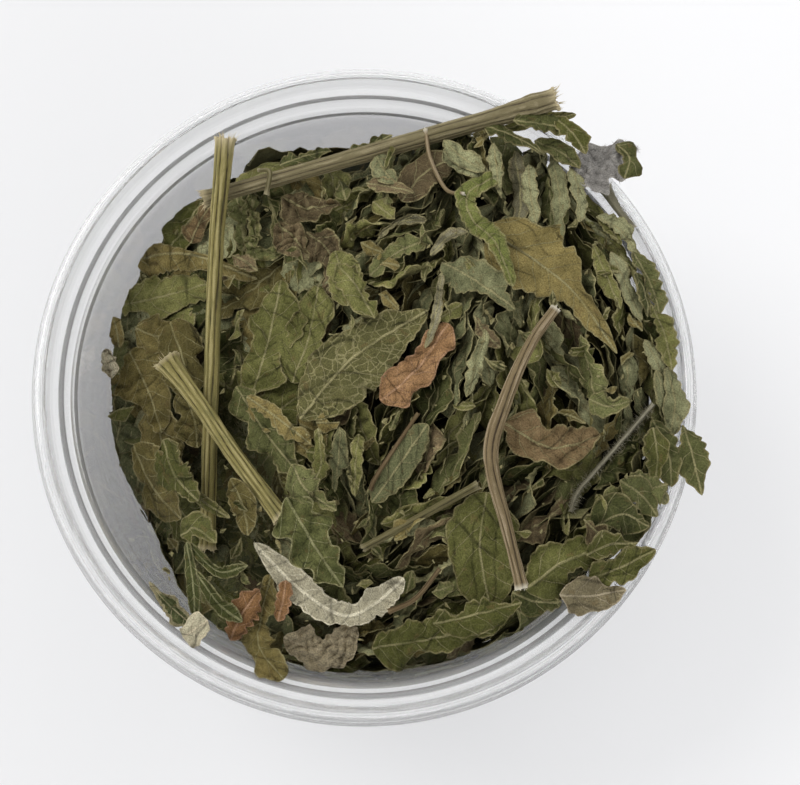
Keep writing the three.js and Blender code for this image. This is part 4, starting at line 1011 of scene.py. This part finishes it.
def mapPlace(x, y):
    # the map's cell that each place falls in
    inCells = lambda a: np.clip(((a + mapHalf) / mapStep).astype(int), 0, mapCells - 1)
    return inCells(x), inCells(y)


def heightMap(places, start, pick):
    # lowest or highest z of the points over each cell
    heights = np.full((mapCells, mapCells), float(start))
    points = np.concatenate(places)
    pick.at(heights, mapPlace(points[:, 0], points[:, 1]), points[:, 2])
    return heights


def spreadHigh(heights, slope, passes):
    # each high place falls off to its neighbours no faster than the slope
    for _ in range(passes):
        for i, j in ((1, 0), (-1, 0), (0, 1), (0, -1), (1, 1), (1, -1), (-1, 1), (-1, -1)):
            near = np.roll(heights, (i, j), (0, 1)) - slope * mapStep * math.hypot(i, j)
            heights = np.maximum(heights, near)
    return heights


ceiling = -spreadHigh(-heightMap(solidPlaces, 200, np.minimum), 0.9, 14)


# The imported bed
bed = {
    "goldenTurn": 2.39996, "underLeaf": 0.4,
    # painted shade: how dark the leaf is by its height against the heap's surface, in mm, darker deep in the
    # pack and lighter above it
    "shadeByDepth": ([-7, -4, -1.8, 0.5, 2.5], [0.04, 0.26, 0.7, 1.2, 1.5]),
    "layers": [
        dict(count=260, lift=-5.6, spread=1.6, rows=8, columns=4, seed=2000, long=(5, 9), wide=(2.4, 4),
             crinkle=0.5),
        dict(count=260, lift=-3.9, spread=1.8, rows=9, columns=4, seed=3000, long=(5, 9), wide=(2, 3.6),
             crinkle=0.6),
        dict(count=250, lift=-1.8, spread=2.8, rows=24, columns=10, seed=4000, long=(4.5, 9),
             wide=(2.2, 4.2), crinkle=0.8),
    ],
    "shares": {"darkGreenLeaf": 0.36, "oliveLeaf": 0.24, "brownOliveLeaf": 0.14, "greyGreenLeaf": 0.21,
               "brownLeaf": 0.05},
    # places, and the way that the strips lie there, in degrees from +X
    "flow": [
        (27, 36, 95), (40, 33, 118), (50, 8, 110), (20, 14, 82), (37, 3, 112), (41, -15, 35), (30, -27, 55),
        (12, -13, 50), (6, -30, 28), (-6, -14, 95), (-6, -29, 130), (18, -35, 35), (10, -44, 15),
        (-17, 29, 100), (6, 39, 60), (6, 24, 30), (-35, 0, 70)],
    # gaps in the pack: depth, place and size
    "gaps": [
        (5, -23.4, 17, 2.2), (5, -23.7, 8, 2), (5, -23.9, 0, 2), (6, -17.8, -9.5, 2.6), (5, -15, -21, 2.4),
        (6, -21.7, -30.6, 2.6), (5, -26.5, -13.5, 2), (4, 14, 36, 1.6), (4, 25, -22, 1.6),
        (5, -3.4, 12.5, 2), (5, 45, 5.5, 2), (5, 38, 21, 1.8), (5, 2, -35, 2), (4, -5, -40, 2.2)],
    # the heap's edge seen from above: degrees round from +X, and the radius there
    "edgeTurns": [-180, -115, -103, -94, -88, -82, -60, -48, -40, -28, -18, -8, 15, 32, 50, 65, 75, 84, 92,
                  98, 108, 120, 140, 180],
    "edgeRadii": [50.5, 50, 49.5, 48.5, 45.5, 49, 48.3, 51.5, 54.5, 53.5, 52.5, 54.3, 53.5, 54, 54, 51, 45.5,
                  42, 41.5, 40.5, 41, 44, 49, 50.5],
    "palePlace": (21, 23), "paleSize": 22, "paleMost": 0.7,
}


def gapDepth(x, y):
    # a bell-shaped dip at each gap
    return dips(x, y, bed["gaps"])


def flowAngle(x, y):
    # half the angle of the summed unit arrows at twice each way, so that opposite ways are the same
    px, py, degrees = np.array(bed["flow"], float).T
    near = ((x - px) ** 2 + (y - py) ** 2 + 20) ** -1.6
    twice = 2 * np.radians(degrees)
    return 0.5 * math.atan2((near * np.sin(twice)).sum(), (near * np.cos(twice)).sum())


def heapEdge(x, y):
    # radius of the heap's outline at each place's turn from +X
    return np.interp(np.degrees(np.arctan2(y, x)), bed["edgeTurns"], bed["edgeRadii"])


def spiralPlace(i, count, start, inset, spread, draw):
    # a turn of a sunflower spiral out to the heap's edge less the inset, shaken by the spread
    around = bed["goldenTurn"] * i + start
    x, y = math.cos(around), math.sin(around)
    reach = (float(heapEdge(x, y)) - inset) * math.sqrt((i + 0.5) / count)
    return reach * x + spread * draw(1) - spread / 2, reach * y + spread * draw(2) - spread / 2


def pickFinish(number, x=-99, y=-99):
    # one of the bed's finishes, as often as its share; grey green more often near the pale place
    cx, cy = bed["palePlace"]
    near = np.exp(-((x - cx) ** 2 + (y - cy) ** 2) / bed["paleSize"] ** 2)
    if scatter(number + 0.37) < bed["paleMost"] * near:
        return "greyGreenLeaf"
    which = int(np.searchsorted(np.cumsum([*bed["shares"].values()]), scatter(number)))
    return [*bed["shares"]][min(which, len(bed["shares"]) - 1)]


def bedLeaf(layer, i):
    # A leaf at its turn of the spiral. On the right it is a narrow strip on edge that follows the
    # flow; on the left it is broader, flatter and turned at random.
    draw = draws(layer["seed"] + 7.3 * i, 91.7)
    x, y = spiralPlace(i, layer["count"], layer["seed"], 1.5, 3, draw)
    steep = float(smoothStep(x, -20, 4))
    turn = flowAngle(x, y) + (draw(3) - 0.5) * (2.2 - 1.2 * steep)
    long = np.interp(draw(4), [0, 1], layer["long"])
    wide = np.interp(draw(5), [0, 1], layer["wide"]) * (1.35 - 0.35 * steep)
    middle, way = np.array([x, y]), np.array([math.cos(turn), math.sin(turn)])
    bend = 3 * (draw(6) - 0.5) * np.array([-way[1], way[0]])
    sign = 1 if draw(7) > 0.5 else -1
    return blade(
        [middle - way * long + bend, middle, middle + way * long + bend],
        [0.3 * wide, wide, (0.7 + 0.5 * draw(13)) * wide, 0.8 * wide, 0.25 * wide],
        [0.4 * wide, (0.6 + 0.6 * draw(14)) * wide, wide, 0.7 * wide, 0.3 * wide],
        roll=sign * (6 + 34 * steep + 26 * draw(8) * steep + 12 * draw(15)), curl=0.35 * (draw(9) - 0.5),
        fold=0.5 * (draw(10) - 0.4), wave=0.25, crinkle=layer["crinkle"], wrinkle=2.2 + 1.6 * draw(16),
        rib=0.3 * draw(17), tone=draw(11), ruffle=3.2, ragged=0.5, rows=layer["rows"],
        columns=layer["columns"],
        height=layer["lift"] + layer["spread"] * (draw(12) - 0.5) - float(packedDepth(x) + gapDepth(x, y)))


def insideHeap(sheet):
    # pulls what reaches past the heap's edge back in
    x, y = sheet["place"][..., 0], sheet["place"][..., 1]
    sheet["place"][..., :2] *= np.minimum(1, (heapEdge(x, y) + 1.2) / np.hypot(x, y))[..., None]
    return sheet


def underCeiling(sheet):
    # lowers what stands over a gap, and what would reach into a named piece above it
    x, y, z = np.moveaxis(sheet["place"], -1, 0)
    sheet["place"][..., 2] = np.minimum(z - 0.6 * gapDepth(x, y), ceiling[mapPlace(x, y)] - bed["underLeaf"])
    return sheet


bedShells = {name: [] for name in bed["shares"]}
for layer in bed["layers"]:
    for i in range(layer["count"]):
        leaf = bedLeaf(layer, i)
        sheet = underCeiling(insideTub(insideHeap(leafSheet(leaf, 1.0, layer["seed"] + i)), 1))
        x, y, z = np.moveaxis(sheet["place"], -1, 0)
        # painted shade: the crease value, which darkens the leaf, falls with depth under the heap's surface
        # and rises above it
        sunk = z - heapHeight(x, y) + packedDepth(x)
        sheet["crease"] = sheet["crease"] * np.interp(sunk, *bed["shadeByDepth"])
        bedShells[pickFinish(layer["seed"] + 3 * i, *leaf["path"][1])].append(closeSheet(sheet))


def wallSheet(angle, z, turn, long, wide, depth, seed):
    # a leaf pressed on the wall: an oval on the unrolled cone, its edges lifting a little inward
    u, v = np.linspace(-1, 1, 9)[:, None], np.linspace(-1, 1, 5)[None, :]
    width = wide * np.sqrt(1.02 - u**2) * (0.85 + 0.4 * softNoise(u * 4 + 9, np.sign(v) * 3, seed))
    a, b = np.broadcast_arrays(u * long, v * width)
    across = a * math.cos(turn) - b * math.sin(turn)
    up = np.clip(z + a * math.sin(turn) + b * math.cos(turn), 1.2, None)
    relief = 1.4 * softNoise(a / 2.2, b / 2.2, seed) * (0.4 + u**2 + v**2 / 2)
    radius = wallRadius(up) - 0.45 - depth - relief
    theta = angle + across / tub["base"]
    return {"place": np.stack([radius * np.cos(theta), radius * np.sin(theta), up], -1),
            "uv": np.stack([a, b], -1) / 10 + seed % 7, "margin": np.abs(v) + 0 * a,
            # painted shade: the crease value falls where the relief is high, which darkens the leaf there
            "crease": 1 - relief / 2.8, "tone": float(scatter(seed)), "thickness": 0.25}


wallLeaves = {"count": 620, "low": 3, "high": 72, "bare": 3.5}
for i in range(wallLeaves["count"]):
    draw = draws(5000 + 5.1 * i, 77.3)
    angle = bed["goldenTurn"] * i
    z = wallLeaves["low"] + (wallLeaves["high"] - wallLeaves["low"]) * (i + 0.5) / wallLeaves["count"]
    top = float(heapHeight(tub["mouth"] * math.cos(angle), tub["mouth"] * math.sin(angle)))
    if z > top - wallLeaves["bare"]:
        continue
    turn, long, wide, depth = 6.3 * draw(1), 3.6 + 3 * draw(2), 1.8 + 1.6 * draw(3), 0.7 * draw(4)
    sheet = wallSheet(angle, z, turn, long, wide, depth, 5000 + i)
    bedShells[pickFinish(5000 + 3 * i)].append(closeSheet(sheet))

baseLeaves = {"count": 110, "radius": 40, "height": 1.7, "lowest": 1.2}
for i in range(baseLeaves["count"]):
    draw = draws(7000 + 3.7 * i, 55.1)
    reach = baseLeaves["radius"] * math.sqrt((i + 0.5) / baseLeaves["count"])
    x, y = (reach * f(bed["goldenTurn"] * i) for f in (math.cos, math.sin))
    turn, long, wide = 6.3 * draw(1), 4 + 3 * draw(2), 2 + 1.6 * draw(3)
    dx, dy = long * math.cos(turn), long * math.sin(turn)
    leaf = blade([[x - dx, y - dy], [x, y], [x + dx, y + dy]], [0.4 * wide, wide, wide, 0.3 * wide],
                 onHeap=0, height=baseLeaves["height"], crinkle=0.4, edgeLift=0.05, wave=0.05, rows=8,
                 columns=4, tone=draw(4))
    sheet = leafSheet(leaf, 1.0, 7000 + i)
    sheet["place"][..., 2] = np.maximum(sheet["place"][..., 2], baseLeaves["lowest"])
    bedShells[pickFinish(7000 + 3 * i)].append(closeSheet(sheet))


# The packed core: a near-black shell under the bed leaves, painted shade for the depths between them
core = {"rings": 26, "wallRings": 30, "baseRings": 6, "sides": 120, "gap": 2.2, "sink": 6.2, "bottom": 2.6}


def coreShell():
    # rings across the heap's top, down inside the wall and back over the base, closed at both poles
    angle = np.linspace(0, 2 * np.pi, core["sides"], endpoint=False)[None, :]
    ring = lambda radius, z: np.stack([radius * np.cos(angle), radius * np.sin(angle), z + 0 * radius], -1)
    reach = np.linspace(0, 1, core["rings"] + 1)[1:, None] * (tub["mouth"] - core["gap"])
    x, y = reach * np.cos(angle), reach * np.sin(angle)
    rough = 1.6 * (softNoise(x / 3 + 50, y / 3 + 50, 11) - 0.5)
    top = heapHeight(x, y) - packedDepth(x) - gapDepth(x, y) - core["sink"] + rough
    top = np.minimum(top, ceiling[mapPlace(x, y)] - 1.5)
    rim = np.minimum(np.hypot(x, y), wallRadius(top) - core["gap"])
    down = np.linspace(0, 1, core["wallRings"] + 1)[1:, None]
    z = top[-1] + (core["bottom"] - top[-1]) * down
    radius = wallRadius(z) - core["gap"] + softNoise(angle * 9, z / 3, 12) - 0.5
    radius = np.where(down > 0.995, radius - 1.5, radius)
    flat = radius[-1] * np.linspace(1, 0, core["baseRings"] + 2)[1:-1, None]
    grid = np.concatenate([ring(rim, top), ring(radius, z), ring(flat, core["bottom"])])
    faces = ringFaces(*grid.shape[:2])
    points = np.concatenate([grid.reshape(-1, 3), [[0, 0, grid[0, :, 2].mean()], [0, 0, core["bottom"]]]])
    level = lambda value: np.full(len(points), value)
    return {"points": points, "quads": faces["quads"][:, ::-1], "triangles": faces["triangles"][:, ::-1],
            "uv": points[:, :2] / 10 + points[:, 2:] / 13, "margin": level(0.3), "crease": level(0.5),
            "tone": level(0.2), "under": level(0.0)}


capital = lambda name: name[0].upper() + name[1:]
addPiece("packedCore", "packedCore", [coreShell()], "leaf_bed")
for name, shells in bedShells.items():
    addPiece("bed" + capital(name), name, shells, "leaf_bed")
print("bed ready")


# Loose pieces on top
bedPlaces = [shell["points"] for shells in bedShells.values() for shell in shells]
roof = spreadHigh(heightMap(solidPlaces + bedPlaces, 0, np.maximum), 1.2, 3)


def restOn(sheet, share=85, lift=0.25):
    # sets a sheet down on what lies below it, touching at the given share of its points
    place = sheet["place"]
    where = mapPlace(place[..., 0], place[..., 1])
    place[..., 2] += np.percentile(roof[where] - place[..., 2], share) + lift
    np.maximum.at(roof, where, place[..., 2])
    return sheet


looseStep = 0.42
looseLeaves = [
    # pale green pieces and a brown strip at the top
    ("greyGreenLeaf", blade([[2, 41.5], [3.5, 37.5], [5.5, 34.5]], [0.8, 1.9, 2.1, 0.9], tone=0.4)),
    ("greyGreenLeaf", blade([[14, 43], [17, 39.5], [21, 36.5]], [0.8, 1.8, 1.8, 0.7], curl=0.3, tone=0.6)),
    ("brownLeaf", blade([[0.5, 35], [4.5, 34], [8.8, 32.5]], [0.6, 1.5, 1.3, 0.5], tone=0.6)),
    ("oliveLeaf", blade([[1.5, 32.5], [3.5, 30.5], [5.5, 28.8]], [0.7, 1.7, 1.9, 0.6], tone=1)),
    # light strips and dark edges down the right
    ("oliveLeaf", blade([[41, 29.5], [43.5, 27.5], [44.6, 25]], [0.6, 1.3, 1.2, 0.4], tone=1)),
    ("greyGreenLeaf", blade([[48.6, 7.6], [50.5, 4.5], [51.8, 1.6]], [0.6, 1.6, 1.5, 0.5], tone=0.9,
        crinkle=0.3)),
    ("greyGreenLeaf", blade([[50.6, 2.4], [51.8, -3], [52.8, -8.6]], [0.6, 1.4, 1.5, 0.6], roll=-30,
        tone=0.4)),
    ("darkGreenLeaf", blade([[47.3, 19.6], [49, 15.5], [49.2, 11.6]], [0.7, 1.6, 1.7, 0.6], roll=-30,
        tone=0.2)),
    ("brownLeaf", blade([[37.3, -24], [40, -26.5], [42.6, -29.2]], [0.8, 2.2, 2.3, 0.8], tone=0.3)),
    # middle: narrow upright lobes, a brown strip and a smooth pale strip
    ("oliveLeaf", blade([[-7.8, -8], [-7.2, -13], [-8.4, -18]], [0.7, 1.7, 1.8, 0.6], roll=30)),
    ("greyGreenLeaf", blade([[-4, -7.5], [-4.2, -13], [-5, -18.5]], [0.7, 1.6, 1.7, 0.6], roll=-30,
        tone=0.3)),
    ("oliveLeaf", blade([[-0.8, -9], [-1.4, -14], [-1.6, -19.5]], [0.7, 1.6, 1.6, 0.6], roll=35, tone=0.7)),
    ("brownOliveLeaf", blade([[-20.5, -1.5], [-14.5, -6], [-9, -10.5]], [0.6, 1.7, 1.8, 0.6], tone=0.9)),
    ("tanLeaf", blade([[-14.8, -40.5], [-13.8, -37], [-13.4, -33.6]], [0.8, 1.4, 1.5, 0.8], tone=0)),
    # broad pieces low at the left, and beside the stems
    ("brownOliveLeaf", blade([[-41, -9], [-38, -16], [-32.5, -22]], [2.4, 4.2, 4.4, 3.6, 1.8], crinkle=0.9,
        wrinkle=2.8, tone=0.3)),
    ("oliveLeaf", blade([[-35, -9], [-33, -15], [-28.5, -20]], [1.8, 3.4, 3.4, 2.6, 1.2], crinkle=0.9,
        tone=0.1)),
    ("brownOliveLeaf", blade([[-23, -16], [-20.8, -20.6], [-19.8, -26]], [1, 2.2, 2.4, 2, 1], crinkle=0.8,
        tone=0.3)),
    ("oliveLeaf", blade([[-32, -25.5], [-28.6, -25], [-24.6, -28]], [1.2, 2.6, 2.6, 2.2, 1], crinkle=0.8,
        tone=0.2)),
    ("darkGreenLeaf", blade([[-12, -14.5], [-9.5, -19], [-4.5, -22.5]], [1, 2.4, 2.6, 2.2, 1], roll=12,
        tone=0.8)),
    ("oliveLeaf", blade([[2, 10.5], [-1, 16], [-4.6, 20.5]], [1, 2.6, 2.8, 2.4, 0.8], roll=10, tone=0.5)),
    ("darkGreenLeaf", blade([[11, 24.5], [6, 22.5], [1, 18.5]], [0.8, 2, 2.2, 1.8, 0.8], roll=-14,
        tone=0.9)),
    # left: a yellowish curl and a brown fold
    ("brownOliveLeaf", blade([[-46.4, 16], [-45.4, 13], [-45, 10]], [0.6, 1.6, 1.5, 0.6], tone=1)),
    # pale strips and a broad grey green piece in the middle, where the pack lies on edge
    ("greyGreenLeaf", blade([[13.5, 20.5], [19.6, 16.8], [26, 12]], [1.6, 3.4, 3.6, 2.8, 1], ragged=0.6,
        tone=0.35, rib=0.3)),
    ("greyStrip", blade([[10.6, 5.4], [12.4, 11], [13.4, 18.4]], [0.4, 0.8, 0.9, 0.8, 0.4], tone=0.6,
        fold=0.3)),
    ("brownLeaf", blade([[19, 11], [20.8, 8], [23.4, 5.4]], [0.6, 1.3, 1.4, 0.6], tone=0.6)),
    ("greyStrip", blade([[2.5, 25.6], [6, 28.4], [11, 28.6]], [0.4, 1, 1.1, 0.5], curl=0.3, roll=20,
        tone=0.4)),
    ("greyStrip", blade([[11.4, 21.4], [14.8, 24.4], [18, 25.4]], [0.4, 0.9, 1, 0.5], roll=-20, tone=0.5)),
    ("greyGreenLeaf", blade([[28.6, 38.6], [29, 32.5], [29.8, 27]], [0.5, 1.5, 1.6, 1.3, 0.5], roll=32,
        tone=0.9)),
    ("greyGreenLeaf", blade([[36.4, 39], [37.4, 33], [37.2, 27.4]], [0.5, 1.5, 1.7, 1.3, 0.5], roll=-30,
        tone=0.8)),
    ("greyGreenLeaf", blade([[22.6, 42], [23, 36.5], [23.6, 31.4]], [0.5, 1.3, 1.4, 1.2, 0.5], roll=28,
        tone=0.6)),
    ("greyGreenLeaf", blade([[21, 8.6], [19.6, 3], [17.6, -3]], [0.5, 1.4, 1.5, 1.3, 0.5], roll=-26,
        tone=0.9)),
    ("oliveLeaf", blade([[39.6, 24], [42, 18], [44.2, 12.4]], [0.5, 1.6, 1.8, 1.4, 0.5], roll=26, tone=0.8)),
    # over the seat and the rim, down the right side and round to the low right
    ("darkGreenLeaf", blade([[44.4, 43], [46.6, 40.4], [45.6, 36.4]], [1, 2.4, 1.2, 2.4, 1],
        [1, 1.6, 2.6, 1.4, 1.4], overRim=True, tone=0.4)),
    ("greyGreenLeaf", blade([[40.6, 29.6], [45, 27.6], [48.4, 22.6]], [0.8, 1.9, 2.1, 1.8, 0.7],
        overRim=True, tone=0.9)),
    ("darkGreenLeaf", blade([[47, 23.6], [50, 18], [51.6, 12.4]], [0.8, 2, 2.2, 1.8, 0.7], overRim=True,
        tone=0.6)),
    ("oliveLeaf", blade([[50, 14], [52.4, 8.6], [53.6, 2.4]], [0.8, 2, 2.2, 1.8, 0.7], overRim=True,
        tone=0.6)),
    ("greyGreenLeaf", blade([[52.6, 3], [54, -3.4], [53, -9]], [0.8, 1.8, 2, 1.6, 0.7], overRim=True,
        tone=0.5)),
    ("darkGreenLeaf", blade([[49.6, -6.6], [52.6, -12], [53.2, -17.6]], [1, 2.4, 2.6, 2.2, 0.9],
        overRim=True, tone=0.4)),
    ("darkGreenLeaf", blade([[40.4, -21], [46.6, -18.6], [52.4, -17.4]], [1.4, 3, 3.2, 2.6, 1], overRim=True,
        tone=0.7)),
    ("darkGreenLeaf", blade([[38.6, -25.4], [44, -22.8], [49, -24.6]], [1.4, 2.8, 3, 2.4, 1], overRim=True,
        tone=0.3)),
    ("oliveLeaf", blade([[37.8, -30], [42, -28], [46.8, -27.6]], [1.2, 2.4, 2.4, 1.8, 0.7], overRim=True,
        tone=0)),
    ("oliveLeaf", blade([[49.4, -8], [50.4, -12.6], [50, -17]], [1, 2, 2.2, 1.8, 1], overRim=True,
        tone=0.2)),
    ("darkGreenLeaf", blade([[43.6, -17.4], [47.8, -19.6], [50.6, -22.8]], [1, 2, 2.2, 1.8, 0.7],
        overRim=True, tone=0.5)),
    ("darkGreenLeaf", blade([[26, 46.2], [31, 45.4], [35.8, 44.6]], [1, 2, 2.2, 1.8, 0.6], overRim=True,
        tone=0.4)),
    ("darkGreenLeaf", blade([[21, 45.6], [26.4, 43.4], [31.4, 40]], [1, 2.2, 2.4, 2, 0.8], overRim=True,
        tone=0.3)),
    ("darkGreenLeaf", blade([[30, 43.6], [34.4, 41.6], [37.8, 38.4]], [0.8, 1.8, 2, 1.6, 0.8], overRim=True,
        tone=0.6)),
    ("oliveLeaf", blade([[33.4, 46.6], [36.4, 43.4], [38.6, 39.6]], [0.8, 1.8, 2, 1.6, 0.6], overRim=True,
        tone=0.2)),
    ("oliveLeaf", blade([[12, -41], [19, -39.6], [27, -37.6]], [1.4, 2.6, 2.8, 2.4, 1], tone=0.1)),
    ("brownLeaf", blade([[-23.4, 23.8], [-21, 22.4], [-18.6, 20.4]], [0.6, 1.6, 1.4, 0.5], fold=-0.5,
        tone=0.7)),
]
for number, (finish, leaf) in enumerate(looseLeaves):
    settle = overRim if leaf.get("overRim") else insideTub
    sheet = settle(restOn(leafSheet({"ragged": 0.55, "tooth": 0.12, **leaf}, looseStep, 900 + number)))
    addPiece(f"looseLeaf{number + 1}", finish, [closeSheet(sheet)])


# Scraps and crumbs
scraps = {
    "kinds": [dict(count=150, long=(1.2, 3.2), wide=(0.45, 0.8), rows=7, columns=4, seed=11000),
              dict(count=420, long=(0.25, 0.7), wide=(0.4, 0.9), rows=3, columns=2, seed=13000)],
    "finishes": ["darkGreenLeaf", "oliveLeaf", "brownOliveLeaf"],
}
namedTop = heightMap(solidPlaces, 0, np.maximum)
scrapShells = {name: [] for name in scraps["finishes"]}
for kind in scraps["kinds"]:
    for i in range(kind["count"]):
        draw = draws(kind["seed"] + 4.7 * i, 63.1)
        x, y = spiralPlace(i, kind["count"], kind["seed"], 2.5, 2, draw)
        if namedTop[mapPlace(np.array(x), np.array(y))] > 0:
            continue  # the named pieces stay clean
        turn, long = 6.3 * draw(3), np.interp(draw(4) ** 2, [0, 1], kind["long"])
        wide = long * np.interp(draw(5), [0, 1], kind["wide"])
        dx, dy, bend = long * math.cos(turn), long * math.sin(turn), 0.3 * long * (draw(6) - 0.5)
        leaf = blade([[x - dx - bend, y - dy], [x, y + bend], [x + dx, y + dy]],
                     [0.7 * wide, wide, 0.6 * wide, 0.5 * wide], tone=0.8 * draw(7), wave=0.3, crinkle=0.6,
                     curl=0.5 * (draw(8) - 0.5), fold=0.8 * (draw(9) - 0.5), roll=70 * (draw(10) - 0.5),
                     ragged=1, rows=kind["rows"], columns=kind["columns"])
        sheet = insideTub(restOn(leafSheet(leaf, 1.0, kind["seed"] + i), 50, 0.05))
        scrapShells[scraps["finishes"][i % 3]].append(closeSheet(sheet))
for name, shells in scrapShells.items():
    addPiece("scraps" + capital(name), name, shells)


# Thin stalks
stalks = {
    "curlyStalk": dict(finish="brownStem", radius=[0.35, 0.4, 0.35, 0.25], ridges=4, sides=10,
        path=[[10.8, 45, 0], [11.6, 39.5, 1.2], [14.3, 33.6, 0.6], [17.3, 32.3, 0.4]], splinters=2),
    "orangeMidrib": dict(finish="darkStem", radius=[0.3, 0.4, 0.35], ridges=4, sides=10,
        path=[[9.4, -5.6, 0.8], [2.6, -15.6, 0.6], [1.2, -18.4, 0.2]], splinters=0, pith=0.2),
    "hook": dict(finish="mossStem", radius=[0.35, 0.45, 0.3], ridges=4, sides=10,
        path=[[-17.2, 34.2, 2.2], [-16.6, 37.6, 2.6], [-18.6, 38.6, 1.6]], splinters=2),
}
for number, (name, stalk) in enumerate(stalks.items()):
    path = np.array(stalk["path"], float)
    path[:, 2] += np.maximum(roof[mapPlace(path[:, 0], path[:, 1])], 70)
    addPiece(name, stalk["finish"], [stemShell({**stalk, "path": path}, 61 + number)])


# Fuzz on the woolly leaves
fuzzes = {
    "leafSilverFurry": dict(finish="furryLeaf", count=900, long=1.1, width=0.05),
    "leafSilverFolded": dict(finish="silverLeaf", count=500, long=0.6, width=0.04),
    "leafFuzzyBrown": dict(finish="brownLeaf", count=700, long=0.8, width=0.04),
}
for number, (name, fuzz) in enumerate(fuzzes.items()):
    draw = np.random.default_rng(300 + number)
    mesh = bpy.data.objects[name].data
    ground = np.empty(len(mesh.vertices) * 3)
    mesh.vertices.foreach_get("co", ground)
    ground = ground.reshape(-1, 3) / mm
    roots = ground[draw.integers(0, len(ground), fuzz["count"])]
    way = unit(draw.normal(0, 1, roots.shape) + [0, 0, 0.6]) * fuzz["long"]
    points, faces = needles(roots, roots + way * draw.uniform(0.4, 1, (len(roots), 1)), fuzz["width"])
    level = lambda value: np.full(len(points), value)
    shell = {"points": points, "quads": np.empty((0, 4), int), "triangles": faces, "uv": points[:, :2] / 10,
             "margin": level(0.0), "crease": level(1.0), "tone": level(0.7), "under": level(0.0)}
    addPiece(name + "Fuzz", fuzz["finish"], [shell])
print("loose pieces ready")
